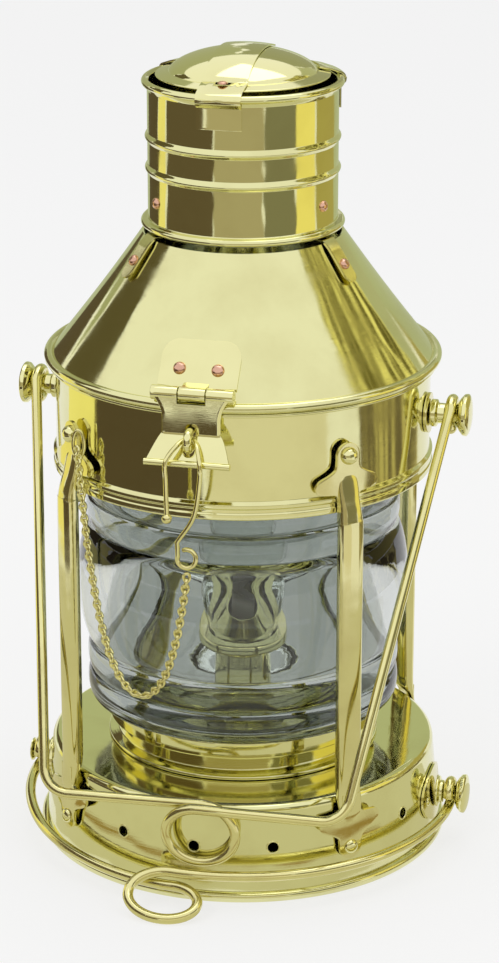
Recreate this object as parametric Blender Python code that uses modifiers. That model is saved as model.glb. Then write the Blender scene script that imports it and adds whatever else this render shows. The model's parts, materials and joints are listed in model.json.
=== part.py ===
"""Anchor lamp of spun brass: base, lens, drum, hinged hood with chimney, hasp, two wire bails and a burner.

Metres, +Z up. The origin is the centre of the base's underside, and the hasp faces -Y.
"""

import math

import bmesh
import bpy
from mathutils import Matrix, Vector

# Fits and mesh fineness
GAP = 0.0003
CUT = 0.0200
BIG_STEPS = 40
MID_STEPS = 24
SMALL_STEPS = 12
ARC_STEPS = 5
SHEET = 0.0010

# Base
BASE_R = 0.1000
FOOT_BEAD_R = 0.0025
SKIRT_INSET = 0.0030
SKIRT_TAPER = 0.0033
SKIRT_FOOT_R = BASE_R - SKIRT_INSET
SKIRT_TOP_R = SKIRT_FOOT_R - SKIRT_TAPER
BASE_H = 0.0475
BASE_EDGE_R = 0.0040
TOP_OPENING_R = 0.0500
BOTTOM_T = 0.0012
VENT_R = 0.0025
VENT_DEPTH = 0.0209
VENT_Z = BASE_H - VENT_DEPTH
VENT_PLACES = 16

# Lens seat
SEAT_WALL_R = 0.0610
SEAT_RING_R = SEAT_WALL_R + 0.0045
SEAT_FOOT_R = SEAT_WALL_R + 0.0050
SEAT_BORE_R = SEAT_WALL_R - 0.0055
SEAT_FOOT_T = 0.0016
SEAT_RING_H = 0.0080
SEAT_H = 0.0190
SEAT_TOP_Z = BASE_H + GAP + SEAT_H
SEAT_NOTCH_W = 0.0030
SEAT_NOTCH_DEPTH = 0.0022
SEAT_NOTCH_AZIMUTHS = (-24.0, 39.0, 156.0, 219.0)

# Lens
LENS_H = 0.1201
LENS_LOW_Z = SEAT_TOP_Z + GAP
LENS_TOP_Z = LENS_LOW_Z + LENS_H
LENS_NECK_R = 0.0632
LENS_NECK_H = 0.0030
LENS_RING_R = 0.0757
LENS_GROOVE_R = LENS_RING_R - 0.0035
LENS_RING_CREST_T = 0.0010
LENS_BELLY_R = LENS_RING_R + 0.0043
LENS_BORE_R = LENS_NECK_R - 0.0057
LENS_WALL = 0.0062
LENS_RING_H = 0.0140
LENS_TOP_NECK_H = 0.0055

# Drum
DRUM_R = 0.0890
DRUM_H = 0.0508
DRUM_Z = LENS_TOP_Z + GAP
DRUM_TOP_Z = DRUM_Z + DRUM_H
DRUM_BAND_R = DRUM_R + 0.0015
DRUM_BAND_H = 0.0080
DRUM_LIP_R = DRUM_R + 0.0030
DRUM_LIP_T = 0.0017

# Guards
GUARD_AZIMUTHS = (45.0, 135.0, 225.0, 315.0)
GUARD_IN_R = DRUM_BAND_R + 0.0005
GUARD_W = 0.0112
GUARD_NECK_W = 0.0096
GUARD_TOP_Z = DRUM_Z + 0.0150
LUG_T = 0.0018
LUG_HALF_W = 0.0165
LUG_NECK_HALF_W = 0.0066
LUG_EYE_R = 0.0060
LUG_EYE_Z = DRUM_Z + 0.0275
LUG_LOBE_H = 0.0142
FOOT_T = 0.0016
FOOT_IN_R = SKIRT_FOOT_R + GAP
FOOT_EYE_Z = FOOT_BEAD_R * 2 + 0.0175
FOOT_LOBE_H = 0.0130
GUARD_DEPTH = FOOT_IN_R + FOOT_T - GUARD_IN_R
BOLT_R = 0.0041
BOLT_H = 0.0038
FOOT_RIVET_R = 0.0036
FOOT_RIVET_H = 0.0022

# Bail pivots on the drum
PIVOT_DEPTH = 0.0213
PIVOT_Z = DRUM_TOP_Z - PIVOT_DEPTH
DRUM_PAD_R = 0.0095
DRUM_PAD_T = 0.0015
KNOB_BOSS_R = 0.0065
KNOB_NECK_R = 0.0042
KNOB_HEAD_R = 0.0100
KNOB_HEAD_T = 0.0062
KNOB_ROUND = 0.0018

# Main bail
WIRE_R = 0.0025
BAIL_X = DRUM_R + 0.0120
BAIL_EYE_R = KNOB_NECK_R + WIRE_R + GAP
BAIL_CROSS_X = BAIL_X - 0.0290
BAIL_CROSS_Y = SKIRT_TOP_R + 0.0033
BAIL_CROSS_Z = BASE_H - 0.0005
BAIL_CORNER_R = 0.0130
BAIL_LOOP_X = 0.0045
BAIL_LOOP_HALF_W = 0.0163
BAIL_LOOP_TOP_Z = BAIL_CROSS_Z + 0.0023
BAIL_LOOP_LOW_Z = BAIL_CROSS_Z - 0.0258
BAIL_LOOP_PITCH = 2 * WIRE_R + 0.0008
BAIL_LOOP_RUN = 0.0180
EYE_TURN = 275.0

# Bail pivots on the base
LOW_PIVOT_H = 0.0180
LOW_PIVOT_Z = 2 * FOOT_BEAD_R + LOW_PIVOT_H
BASE_PAD_HALF_W = 0.0200
BASE_PAD_HALF_H = 0.0125
BASE_PAD_T = 0.0012
LOW_BOSS_R = 0.0075
LOW_NECK_R = 0.0027
LOW_KNOB_R = 0.0095
LOW_KNOB_T = 0.0060
LOW_STUD_R = 0.0058
LOW_STUD_T = 0.0020

# Lower bail
LOW_BAIL_X = BASE_R + 0.0045
LOW_EYE_R = LOW_NECK_R + WIRE_R + GAP
LOW_BOW_R = BASE_R + 0.0065
LOW_BLEND_AZIMUTH = 50.0
LOW_LOOP_X = -0.0125
LOW_LOOP_HALF_W = 0.0165
LOW_LOOP_LEN = 0.0250
LOW_LOOP_PITCH = 2 * WIRE_R + 0.0022

# Staple, hasp and its hinge
STAPLE_Z = DRUM_TOP_Z - 0.0108
STAPLE_HALF_H = 0.0040
STAPLE_REACH = DRUM_R + 0.0140
STAPLE_WIRE_R = 0.0019
STAPLE_PLATE_W = 0.0180
STAPLE_PLATE_H = 0.0220
STAPLE_PLATE_T = 0.0013
RIM_ROLL_R = 0.0024
RIM_CENTRE_R = DRUM_R + 0.0027
RIM_Z = DRUM_TOP_Z + RIM_ROLL_R + GAP
HOOD_EDGE_R = RIM_CENTRE_R - 0.0017
HASP_PIVOT_Y = RIM_CENTRE_R + 0.0009
HASP_PIVOT_Z = RIM_Z + 0.0062
HASP_KNUCKLE_R = 0.0033
HASP_BARREL_W = 0.0380
HASP_MIDDLE_W = 0.0130
PIN_R = 0.0011
PIN_BORE_R = PIN_R + GAP
HASP_PLATE_W = 0.0370
HASP_PLATE_T = 0.0010
HASP_PLATE_TOP_R = HOOD_EDGE_R - 0.0175
HASP_PLATE_LOW_R = HOOD_EDGE_R - 0.0038
HASP_PLATE_CORNER = 0.0090
HASP_RIVET_X = 0.0088
HASP_RIVET_CONE_R = HOOD_EDGE_R - 0.0090
LEAF_T = 0.0011
LEAF_TOP_HALF_W = HASP_BARREL_W / 2 - 0.0004
LEAF_WAIST_HALF_W = 0.0135
LEAF_LIP_HALF_W = 0.0195
LEAF_BEND_DROP = 0.0180
LEAF_LIP_DROP = 0.0112
LEAF_LIP_OUT = 0.0078
LEAF_LIP_ROLL_R = 0.0015
LEAF_LEAN = 0.0006
SLOT_W = 2 * STAPLE_WIRE_R + 0.0016
SLOT_CLEAR = 0.0011
RIVET_R = 0.0028
RIVET_H = 0.0015

# Lock pin and chain
LOCK_WIRE_R = 0.0011
LOCK_BALL_R = 0.0024
LOCK_OUT_Y = STAPLE_REACH + 0.0046
LOCK_LEG_LEFT_X = -0.0088
LOCK_LEG_RIGHT_X = 0.0069
LOCK_BALL_Z = STAPLE_Z - 0.0345
LOCK_RING_X = 0.0005
LOCK_RING_Z = STAPLE_Z - 0.0535
LOCK_RING_R = 0.0041
LOCK_RING_PITCH = 2 * LOCK_WIRE_R + 0.0005
CHAIN_R = 0.0020
CHAIN_LEN = 0.2020
CHAIN_TOP_AZIMUTH = -38.0
CHAIN_TOP_R = GUARD_IN_R + 0.0055
CHAIN_TOP_Z = LUG_EYE_Z - 0.0030
CHAIN_POINTS = 22

# Chimney
CHIMNEY_R = 0.0443
CHIMNEY_H = 0.0657
FLANGE_LIFT = 0.0044
CHIMNEY_ROLL_R = 0.0018
FLANGE_R = CHIMNEY_R + 0.0033
CHIMNEY_LIP_R = CHIMNEY_R + 0.0026
BEAD_OUT = 0.0012
BEAD_HALF_H = 0.0022
BEAD_CREST_HALF_H = 0.0009

# Hood
HOOD_H = 0.0594
HOOD_TOP_R = CHIMNEY_R + 0.0027
HOOD_TOP_Z = RIM_Z + HOOD_H
FLANGE_Z = HOOD_TOP_Z + FLANGE_LIFT
CHIMNEY_LIP_Z = FLANGE_Z + CHIMNEY_H
UPPER_BEAD_Z = CHIMNEY_LIP_Z - 0.0255
LOWER_BEAD_Z = UPPER_BEAD_Z - 0.0147

# Cap and its clips
CAP_T = 0.0008
CAP_R = CHIMNEY_R - SHEET - 0.0028
CAP_DOME_R = CAP_R - 0.0060
CAP_BRIM_Z = CHIMNEY_LIP_Z + 0.0033
CAP_DOME_Z = CAP_BRIM_Z + 0.0014
CAP_TOP_Z = CAP_DOME_Z + 0.0116
CLIP_W = 0.0210
CLIP_T = 0.0008
CLIP_IN_R = CAP_R - 0.0050
CLIP_DROP = 0.0140
CLIP_RIVET_R = 0.0022
CLIP_RIVET_H = 0.0011
CLIP_RIVET_AT_R = CAP_R - 0.0027

# Straps
STRAP_AZIMUTHS = (-50.0, 70.0, 190.0)
STRAP_W = 0.0090
STRAP_T = 0.0010
STRAP_TOP_Z = FLANGE_Z + 0.0192
STRAP_END_R = HOOD_TOP_R + 0.0130
STRAP_LIFT = 0.0010
STRAP_RIVET_R = 0.0024
STRAP_RIVET_H = 0.0013
STRAP_RIVET_CONE_R = HOOD_TOP_R + 0.0075
STRAP_RIVET_Z = FLANGE_Z + 0.0122

# Hood hinge at the back
HOOD_KNUCKLE_R = 0.0026
HOOD_PIVOT_Y = RIM_CENTRE_R + RIM_ROLL_R + HOOD_KNUCKLE_R + 0.0018
HOOD_PIVOT_Z = RIM_Z + 0.0015
HOOD_BARREL_W = 0.0260
HOOD_MIDDLE_W = 0.0090
HOOD_LEAF_CONE_R = HOOD_EDGE_R - 0.0180
HOOD_LEAF_LIFT = 0.0008
DRUM_LEAF_LOW_Z = DRUM_TOP_Z - 0.0203
DRUM_LEAF_SHELF_Z = DRUM_TOP_Z - 0.0038

# Oil font, burner and wick
FONT_R = TOP_OPENING_R - 0.0050
FONT_SHOULDER_Z = BASE_H + 0.0045
FONT_NECK_R = 0.0120
FONT_NECK_Z = FONT_SHOULDER_Z + 0.0120
FONT_DOME_SHARE = 0.55
BURNER_COLLAR_R = FONT_NECK_R + 0.0045
BURNER_COLLAR_H = 0.0060
BURNER_TUBE_R = 0.0130
BURNER_BORE_R = 0.0072
BURNER_GALLERY_Z = FONT_NECK_Z + 0.0350
BURNER_GALLERY_R = 0.0215
BURNER_GALLERY_T = 0.0030
BURNER_CROWN_H = 0.0040
GLASS_FOOT_R = BURNER_TUBE_R + 0.0040
GLASS_BULB_R = GLASS_FOOT_R + 0.0070
GLASS_BULB_SHARE = 0.30
GLASS_TOP_R = 0.0135
GLASS_H = 0.0700
GLASS_T = 0.0015
GLASS_POINTS = 9
WICK_W = 2 * BURNER_BORE_R - 0.0034
WICK_T = 0.0018
WICK_Z = FONT_NECK_Z + 0.0040
WICK_TOP_Z = BURNER_GALLERY_Z + 0.0095
WHEEL_SHAFT_R = 0.0011
WHEEL_SHAFT_IN_X = 0.0030
WHEEL_Z = FONT_NECK_Z + 0.0160
WHEEL_Y = WICK_T / 2 + WHEEL_SHAFT_R + 0.0008
WHEEL_R = 0.0080
WHEEL_T = 0.0030
WHEEL_X = BURNER_TUBE_R + 0.0140

# Colours as seen in the photo
BRASS_COLOUR = (0.78, 0.70, 0.34, 1.0)
COPPER_COLOUR = (0.72, 0.42, 0.30, 1.0)
GLASS_COLOUR = (0.66, 0.71, 0.68, 1.0)
WICK_COLOUR = (0.86, 0.83, 0.74, 1.0)


def new_collection(name):
    collection = bpy.data.collections.new(name)
    bpy.context.scene.collection.children.link(collection)
    return collection


def make_material(name, colour, metallic, roughness, transmission=0.0):
    material = bpy.data.materials.new(name)
    material.use_nodes = True
    shader = material.node_tree.nodes["Principled BSDF"]
    shader.inputs["Base Color"].default_value = colour
    shader.inputs["Metallic"].default_value = metallic
    shader.inputs["Roughness"].default_value = roughness
    shader.inputs["Transmission Weight"].default_value = transmission
    return material


def polar(radius, azimuth, z):
    """A point by radius and azimuth, in degrees from the hasp's side towards +X."""
    turn = math.radians(azimuth)
    return Vector((radius * math.sin(turn), -radius * math.cos(turn), z))


def facing(azimuth):
    """Turns a piece built on the -Y side to its azimuth."""
    return Matrix.Rotation(math.radians(azimuth), 4, "Z")


def arc(centre, radius, start, end, steps=ARC_STEPS):
    """Points (r, z) on an arc between two angles in degrees, both ends included."""
    points = []
    for index in range(steps + 1):
        angle = math.radians(start + (end - start) * index / steps)
        points.append((centre[0] + radius * math.cos(angle), centre[1] + radius * math.sin(angle)))
    return points


def from_bmesh(name, bm):
    bmesh.ops.remove_doubles(bm, verts=bm.verts, dist=GAP / 100)
    bmesh.ops.recalc_face_normals(bm, faces=bm.faces)
    mesh = bpy.data.meshes.new(name)
    bm.to_mesh(mesh)
    bm.free()
    piece = bpy.data.objects.new(name, mesh)
    bpy.context.scene.collection.objects.link(piece)
    return piece


def applied(piece):
    """The object again, with its modifiers made real and its doubles merged."""
    graph = bpy.context.evaluated_depsgraph_get()
    mesh = bpy.data.meshes.new_from_object(piece.evaluated_get(graph))
    bm = bmesh.new()
    bm.from_mesh(mesh)
    bpy.data.meshes.remove(mesh)
    bm.transform(piece.matrix_world)
    name = piece.name
    bpy.data.objects.remove(piece)
    return from_bmesh(name, bm)


def turned(name, outline, steps=BIG_STEPS, ring=True):
    """A turned piece from an outline (r, z) that runs down its outer side. A ring's outline closes on itself."""
    mesh = bpy.data.meshes.new(name)
    edges = [(index, index + 1) for index in range(len(outline) - 1)]
    if ring:
        edges.append((len(outline) - 1, 0))
    mesh.from_pydata([(r, 0, z) for r, z in outline], edges, [])
    piece = bpy.data.objects.new(name, mesh)
    bpy.context.scene.collection.objects.link(piece)
    screw = piece.modifiers.new("Turn", "SCREW")
    screw.steps = steps
    screw.render_steps = steps
    screw.use_merge_vertices = True
    screw.merge_threshold = GAP / 100
    return applied(piece)


def prism(name, outline, depth, place=None):
    """A flat outline in X and Y given a thickness that is centred on Z, then moved by a matrix."""
    curve = bpy.data.curves.new(name, "CURVE")
    curve.dimensions = "2D"
    curve.fill_mode = "BOTH"
    curve.extrude = depth / 2
    spline = curve.splines.new("POLY")
    spline.points.add(len(outline) - 1)
    for point, (x, y) in zip(spline.points, outline):
        point.co = (x, y, 0, 1)
    spline.use_cyclic_u = True
    piece = bpy.data.objects.new(name, curve)
    bpy.context.scene.collection.objects.link(piece)
    if place is not None:
        piece.matrix_world = place
        bpy.context.view_layer.update()
    return applied(piece)


def rod(name, radius, start, end, steps=SMALL_STEPS):
    """A round bar between two points."""
    axis = Vector(end) - Vector(start)
    bm = bmesh.new()
    bmesh.ops.create_cone(bm, cap_ends=True, segments=steps, radius1=radius, radius2=radius, depth=axis.length)
    middle = (Vector(start) + Vector(end)) / 2
    bm.transform(Matrix.Translation(middle) @ axis.to_track_quat("Z", "Y").to_matrix().to_4x4())
    return from_bmesh(name, bm)


def block(name, low, high):
    """A box between two corners."""
    bm = bmesh.new()
    bmesh.ops.create_cube(bm, size=1)
    size = Vector(high) - Vector(low)
    middle = (Vector(low) + Vector(high)) / 2
    bm.transform(Matrix.Translation(middle) @ Matrix.Diagonal((*size, 1)))
    return from_bmesh(name, bm)


def wire(name, points, radius):
    """A round wire along points, left as a curve with filled caps."""
    curve = bpy.data.curves.new(name, "CURVE")
    curve.dimensions = "3D"
    curve.bevel_depth = radius
    curve.bevel_resolution = 2
    curve.use_fill_caps = True
    spline = curve.splines.new("POLY")
    spline.points.add(len(points) - 1)
    for point, place in zip(spline.points, points):
        point.co = (*place, 1)
    piece = bpy.data.objects.new(name, curve)
    bpy.context.scene.collection.objects.link(piece)
    return piece


def combine(piece, tool, operation):
    """Joins, cuts or intersects a piece with a tool, and removes the tool."""
    boolean = piece.modifiers.new(operation, "BOOLEAN")
    boolean.operation = operation
    boolean.object = tool
    result = applied(piece)
    bpy.data.objects.remove(tool)
    return result


def moved(piece, place):
    piece.data.transform(place)
    return piece


def fillet(before, corner, after, radius, steps=ARC_STEPS):
    """Points of an arc that rounds a corner between two straight runs."""
    back = (before - corner).normalized()
    ahead = (after - corner).normalized()
    half = back.angle(ahead) / 2
    reach = radius / math.tan(half)
    centre = corner + (back + ahead).normalized() * (radius / math.sin(half))
    start = corner + back * reach - centre
    end = corner + ahead * reach - centre
    normal = start.cross(end).normalized()
    sweep = start.angle(end)
    return [centre + Matrix.Rotation(sweep * index / steps, 3, normal) @ start for index in range(steps + 1)]


def on_axis(x, y, z):
    """Lays a piece turned about Z along +X at a place."""
    return Matrix.Translation((x, y, z)) @ Matrix.Rotation(math.radians(90), 4, "Y")


def front_frame(radius, z):
    """Maps an outline's X and Y to the tangent and to +Z on the -Y side, at a radius and a height."""
    return Matrix.Translation((0, -radius, z)) @ Matrix.Rotation(math.radians(90), 4, "X")


def rivet_head(name, radius, height, place, steps=SMALL_STEPS):
    """A domed head that stands on a plane, its axis along the place's Z."""
    dome = [(0, height)]
    for share, rise_share in ((0.45, 0.92), (0.80, 0.60), (1.0, 0.0)):
        dome.append((radius * share, height * rise_share))
    dome.append((0, 0))
    return moved(turned(name, dome, steps, ring=False), place)


# Places on the cone of the hood

CONE_RUN = HOOD_EDGE_R - HOOD_TOP_R
CONE_LOW_Z = RIM_Z + RIM_ROLL_R * 0.7
CONE_DROP = HOOD_TOP_Z - CONE_LOW_Z
CONE_LEN = math.hypot(CONE_RUN, CONE_DROP)
CONE_ANGLE = math.degrees(math.atan2(CONE_DROP, CONE_RUN))


def cone_z(radius):
    """The height of the hood's outer surface at a radius."""
    return HOOD_TOP_Z - (radius - HOOD_TOP_R) * CONE_DROP / CONE_RUN


def cone_point(radius, lift):
    """The point (r, z) above the hood's surface, measured square to it."""
    return (radius + lift * CONE_DROP / CONE_LEN, cone_z(radius) + lift * CONE_RUN / CONE_LEN)


def cone_place(radius, lift, azimuth=0.0, x=0.0):
    """A frame on the hood's outside, its Z square to the surface."""
    r, z = cone_point(radius, lift)
    tilt = Matrix.Rotation(math.radians(CONE_ANGLE), 4, "X")
    return facing(azimuth) @ Matrix.Translation((x, -r, z)) @ tilt


def skirt_r(z):
    """The outer radius of the base's skirt at a height."""
    low = 2 * FOOT_BEAD_R
    share = (z - low) / (BASE_H - BASE_EDGE_R - low)
    return SKIRT_FOOT_R + (SKIRT_TOP_R - SKIRT_FOOT_R) * share


# Base and lens

def make_base_skirt():
    bead = (BASE_R - FOOT_BEAD_R, FOOT_BEAD_R)
    outline = [(TOP_OPENING_R, BASE_H)]
    outline += arc((SKIRT_TOP_R - BASE_EDGE_R, BASE_H - BASE_EDGE_R), BASE_EDGE_R, 90, 0, 3)
    outline += [(SKIRT_FOOT_R, 2 * FOOT_BEAD_R)]
    outline += arc(bead, FOOT_BEAD_R, 60, -90)
    outline += [(SKIRT_FOOT_R - SHEET, 0)]
    outline += [(SKIRT_FOOT_R - SHEET, 2 * FOOT_BEAD_R)]
    inner_edge = BASE_EDGE_R - SHEET
    outline += arc((SKIRT_TOP_R - BASE_EDGE_R, BASE_H - BASE_EDGE_R), inner_edge, 0, 90, 3)
    outline += [(TOP_OPENING_R, BASE_H - SHEET)]
    skirt = turned("base_skirt", outline)
    step = 360 / VENT_PLACES
    taken = GUARD_AZIMUTHS + (90.0, 270.0)
    for index in range(VENT_PLACES):
        azimuth = index * step
        if azimuth in taken:
            continue
        drill = rod("vent_drill", VENT_R, polar(SKIRT_TOP_R - CUT, azimuth, VENT_Z),
                    polar(SKIRT_TOP_R + CUT, azimuth, VENT_Z), 10)
        skirt = combine(skirt, drill, "DIFFERENCE")
    return skirt


def make_base_bottom():
    radius = SKIRT_FOOT_R - SHEET - GAP
    return turned("base_bottom", [(0, BOTTOM_T), (radius, BOTTOM_T), (radius, 0), (0, 0)], ring=False)


def make_lens_seat():
    low = BASE_H + GAP
    top = SEAT_TOP_Z
    outline = [
        (SEAT_RING_R, top),
        (SEAT_RING_R, top - SEAT_RING_H),
        (SEAT_WALL_R, top - SEAT_RING_H - SEAT_FOOT_T),
        (SEAT_WALL_R, low + 2 * SEAT_FOOT_T),
        (SEAT_FOOT_R, low + SEAT_FOOT_T),
        (SEAT_FOOT_R, low),
        (SEAT_BORE_R, low),
        (SEAT_BORE_R, top),
    ]
    seat = turned("lens_seat", outline)
    for azimuth in SEAT_NOTCH_AZIMUTHS:
        half = SEAT_NOTCH_W / 2
        notch = block("seat_notch", (-half, -SEAT_RING_R - CUT, top - SEAT_RING_H - CUT / 2),
                      (half, -SEAT_RING_R + SEAT_NOTCH_DEPTH, top + CUT))
        seat = combine(seat, moved(notch, facing(azimuth)), "DIFFERENCE")
    return seat


def lens_belly(bottom, top, count=7):
    """The barrel between the prism rings, from top to bottom."""
    points = []
    for index in range(count + 1):
        share = index / count
        bulge = math.sin(math.pi * share)
        points.append((LENS_GROOVE_R + (LENS_BELLY_R - LENS_GROOVE_R) * bulge ** 0.45, top - (top - bottom) * share))
    return points


def lens_ring(top):
    """One prism ring, from its upper groove down to the next."""
    side = LENS_RING_R - LENS_RING_CREST_T
    return [
        (side, top - LENS_RING_H * 0.18),
        (LENS_RING_R, top - LENS_RING_H * 0.50),
        (side, top - LENS_RING_H * 0.82),
        (LENS_GROOVE_R, top - LENS_RING_H),
    ]


def make_lens():
    low = LENS_LOW_Z
    shoulder_low = low + LENS_NECK_H
    shoulder_top = LENS_TOP_Z
    top = LENS_TOP_Z + LENS_TOP_NECK_H
    belly_top = shoulder_top - 2 * LENS_RING_H
    belly_low = shoulder_low + 2 * LENS_RING_H
    outline = [(LENS_NECK_R, top), (LENS_NECK_R, shoulder_top), (LENS_GROOVE_R, shoulder_top)]
    outline += lens_ring(shoulder_top)
    outline += lens_ring(shoulder_top - LENS_RING_H)
    outline += lens_belly(belly_low, belly_top)[1:]
    outline += lens_ring(belly_low)
    outline += lens_ring(belly_low - LENS_RING_H)
    outline += [(LENS_NECK_R, shoulder_low), (LENS_NECK_R, low), (LENS_BORE_R, low)]
    inner_belly = LENS_BELLY_R - LENS_WALL
    outline += [
        (LENS_BORE_R, shoulder_low),
        (LENS_GROOVE_R - LENS_WALL, shoulder_low + LENS_RING_H),
        (inner_belly - LENS_RING_CREST_T, belly_low + LENS_RING_H / 2),
        (inner_belly, (belly_low + belly_top) / 2),
        (inner_belly - LENS_RING_CREST_T, belly_top - LENS_RING_H / 2),
        (LENS_GROOVE_R - LENS_WALL, shoulder_top - LENS_RING_H),
        (LENS_BORE_R, shoulder_top),
        (LENS_BORE_R, top),
    ]
    return turned("lens", outline)


def make_drum():
    hole = LENS_NECK_R + 3 * GAP
    band_top = DRUM_Z + DRUM_BAND_H
    outline = [
        (DRUM_LIP_R, DRUM_TOP_Z),
        (DRUM_LIP_R, DRUM_TOP_Z - DRUM_LIP_T),
        (DRUM_R, DRUM_TOP_Z - DRUM_LIP_T),
        (DRUM_R, band_top),
        (DRUM_BAND_R, band_top - SHEET),
        (DRUM_BAND_R, DRUM_Z),
        (hole, DRUM_Z),
        (hole, DRUM_Z + SHEET),
        (DRUM_R - SHEET, DRUM_Z + SHEET),
        (DRUM_R - SHEET, DRUM_TOP_Z),
    ]
    return turned("drum", outline)


# Guards

def spade_outline(eye, lobe_h, stem_end, up):
    """A plate with two round lobes and a round eye, from its stem at stem_end to its eye, in X and Y."""
    lobe = eye - up * lobe_h
    side = [
        (GUARD_NECK_W / 2, stem_end),
        (GUARD_NECK_W / 2 + LUG_T / 2, lobe - up * LUG_EYE_R * 0.80),
        (LUG_HALF_W * 0.84, lobe - up * LUG_EYE_R * 0.60),
        (LUG_HALF_W, lobe),
        (LUG_HALF_W * 0.90, lobe + up * LUG_EYE_R * 0.55),
        (LUG_HALF_W * 0.60, lobe + up * LUG_EYE_R * 0.95),
        (LUG_NECK_HALF_W, lobe + up * LUG_EYE_R * 1.35),
    ]
    cap = [(x, eye + up * y) for x, y in arc((0, 0), LUG_EYE_R, 0, 180, 8)]
    return side + cap + [(-x, y) for x, y in reversed(side)]


def make_guard(index, azimuth):
    name = "guard_%d" % index
    middle_r = GUARD_IN_R + GUARD_DEPTH / 2
    low = BASE_H + GAP
    bm = bmesh.new()
    bmesh.ops.create_cone(bm, cap_ends=True, segments=14, radius1=1, radius2=1, depth=GUARD_TOP_Z - low)
    bm.transform(Matrix.Translation((0, -middle_r, (GUARD_TOP_Z + low) / 2))
                 @ Matrix.Diagonal((GUARD_W / 2, GUARD_DEPTH / 2, 1, 1)))
    guard = from_bmesh(name, bm)
    lug = spade_outline(LUG_EYE_Z, LUG_LOBE_H, DRUM_Z - GUARD_NECK_W / 2, 1)
    guard = combine(guard, prism("lug", lug, LUG_T, front_frame(GUARD_IN_R + LUG_T / 2 + GAP / 2, 0)), "UNION")
    foot = spade_outline(FOOT_EYE_Z, FOOT_LOBE_H, BASE_H + GUARD_NECK_W, -1)
    foot_r = FOOT_IN_R + FOOT_T / 2 - GAP / 2
    guard = combine(guard, prism("foot", foot, FOOT_T, front_frame(foot_r, 0)), "UNION")
    return moved(guard, facing(azimuth))


def make_guard_bolt(index, azimuth):
    place = facing(azimuth) @ front_frame(GUARD_IN_R + LUG_T + 2 * GAP, LUG_EYE_Z)
    return rivet_head("guard_bolt_%d" % index, BOLT_R, BOLT_H, place)


def make_foot_rivet(index, azimuth):
    place = facing(azimuth) @ front_frame(FOOT_IN_R + FOOT_T + GAP, FOOT_EYE_Z)
    return rivet_head("foot_rivet_%d" % index, FOOT_RIVET_R, FOOT_RIVET_H, place)


# Pads and knobs that carry the bails

def make_pad(name, inner_top, inner_low, top, low, thickness, half_w, half_h, z, side):
    """An oval plate that follows a round wall, on the +X side or the -X side."""
    outline = [(inner_top + thickness, top), (inner_low + thickness, low), (inner_low, low), (inner_top, top)]
    shell = turned(name, outline, 2 * BIG_STEPS)
    bm = bmesh.new()
    bmesh.ops.create_cone(bm, cap_ends=True, segments=MID_STEPS, radius1=1, radius2=1, depth=inner_low)
    bm.transform(Matrix.Translation((side * inner_low, 0, z)) @ Matrix.Diagonal((1, half_w, half_h, 1))
                 @ Matrix.Rotation(math.radians(90), 4, "Y"))
    return combine(shell, from_bmesh("pad_tool", bm), "INTERSECT")


def make_drum_pad(name, side):
    inner = DRUM_R + GAP
    margin = DRUM_PAD_R + SHEET
    return make_pad(name, inner, inner, PIVOT_Z + margin, PIVOT_Z - margin, DRUM_PAD_T, DRUM_PAD_R, DRUM_PAD_R,
                    PIVOT_Z, side)


def make_base_pad(name, side):
    top = LOW_PIVOT_Z + BASE_PAD_HALF_H + SHEET
    low = LOW_PIVOT_Z - BASE_PAD_HALF_H - SHEET
    return make_pad(name, skirt_r(top) + GAP, skirt_r(low) + GAP, top, low, BASE_PAD_T, BASE_PAD_HALF_W,
                    BASE_PAD_HALF_H, LOW_PIVOT_Z, side)


def make_knob(name, start, eye_x, boss_r, neck_r, head_r, head_t, z, side):
    """A turned stud from a pad outwards: boss, neck under the wire's eye, and head."""
    boss_end = eye_x - WIRE_R - 2 * GAP
    head = eye_x + WIRE_R + 2 * GAP
    rounding = min(KNOB_ROUND, head_t / 2)
    outline = [(0, head + head_t), (head_r - rounding, head + head_t)]
    outline += arc((head_r - rounding, head + head_t - rounding), rounding, 60, 0, 2)
    outline += arc((head_r - rounding, head + rounding), rounding, 0, -60, 2)
    outline += [
        (neck_r, head),
        (neck_r, boss_end),
        (boss_r * 0.75, boss_end),
        (boss_r * 0.75, (boss_end + start) / 2),
        (boss_r, (boss_end + start) / 2 - SHEET / 2),
        (boss_r, start),
        (0, start),
    ]
    knob = turned(name, outline, MID_STEPS, ring=False)
    turn = Matrix.Identity(4) if side > 0 else Matrix.Rotation(math.radians(180), 4, "Z")
    return moved(knob, turn @ on_axis(0, 0, z))


def make_bail_knob(name, side):
    start = DRUM_R + DRUM_PAD_T + 2 * GAP
    return make_knob(name, start, BAIL_X, KNOB_BOSS_R, KNOB_NECK_R, KNOB_HEAD_R, KNOB_HEAD_T, PIVOT_Z, side)


def make_base_knob(name, side, head_r, head_t):
    start = skirt_r(LOW_PIVOT_Z - LOW_BOSS_R) + BASE_PAD_T + 2 * GAP
    return make_knob(name, start, LOW_BAIL_X, LOW_BOSS_R, LOW_NECK_R, head_r, head_t, LOW_PIVOT_Z, side)


# Wire bails

def eye_points(centre, radius, start, end, count=14):
    """Points round a stud, in the plane across X, between two angles in degrees from +Y towards +Z."""
    points = []
    for index in range(count + 1):
        angle = math.radians(start + (end - start) * index / count)
        points.append(centre + Vector((0, radius * math.cos(angle), radius * math.sin(angle))))
    return points


def bail_side(side):
    """Half of the main bail, from its cut end round the knob and down to its corner."""
    centre = Vector((side * BAIL_X, 0, PIVOT_Z))
    drop = Vector((0, -BAIL_CROSS_Y, BAIL_CROSS_Z - PIVOT_Z))
    heading = math.degrees(math.atan2(drop.z, drop.y) + math.asin(BAIL_EYE_R / drop.length))
    leave = heading - 90
    return eye_points(centre, BAIL_EYE_R, leave - EYE_TURN, leave)


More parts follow.
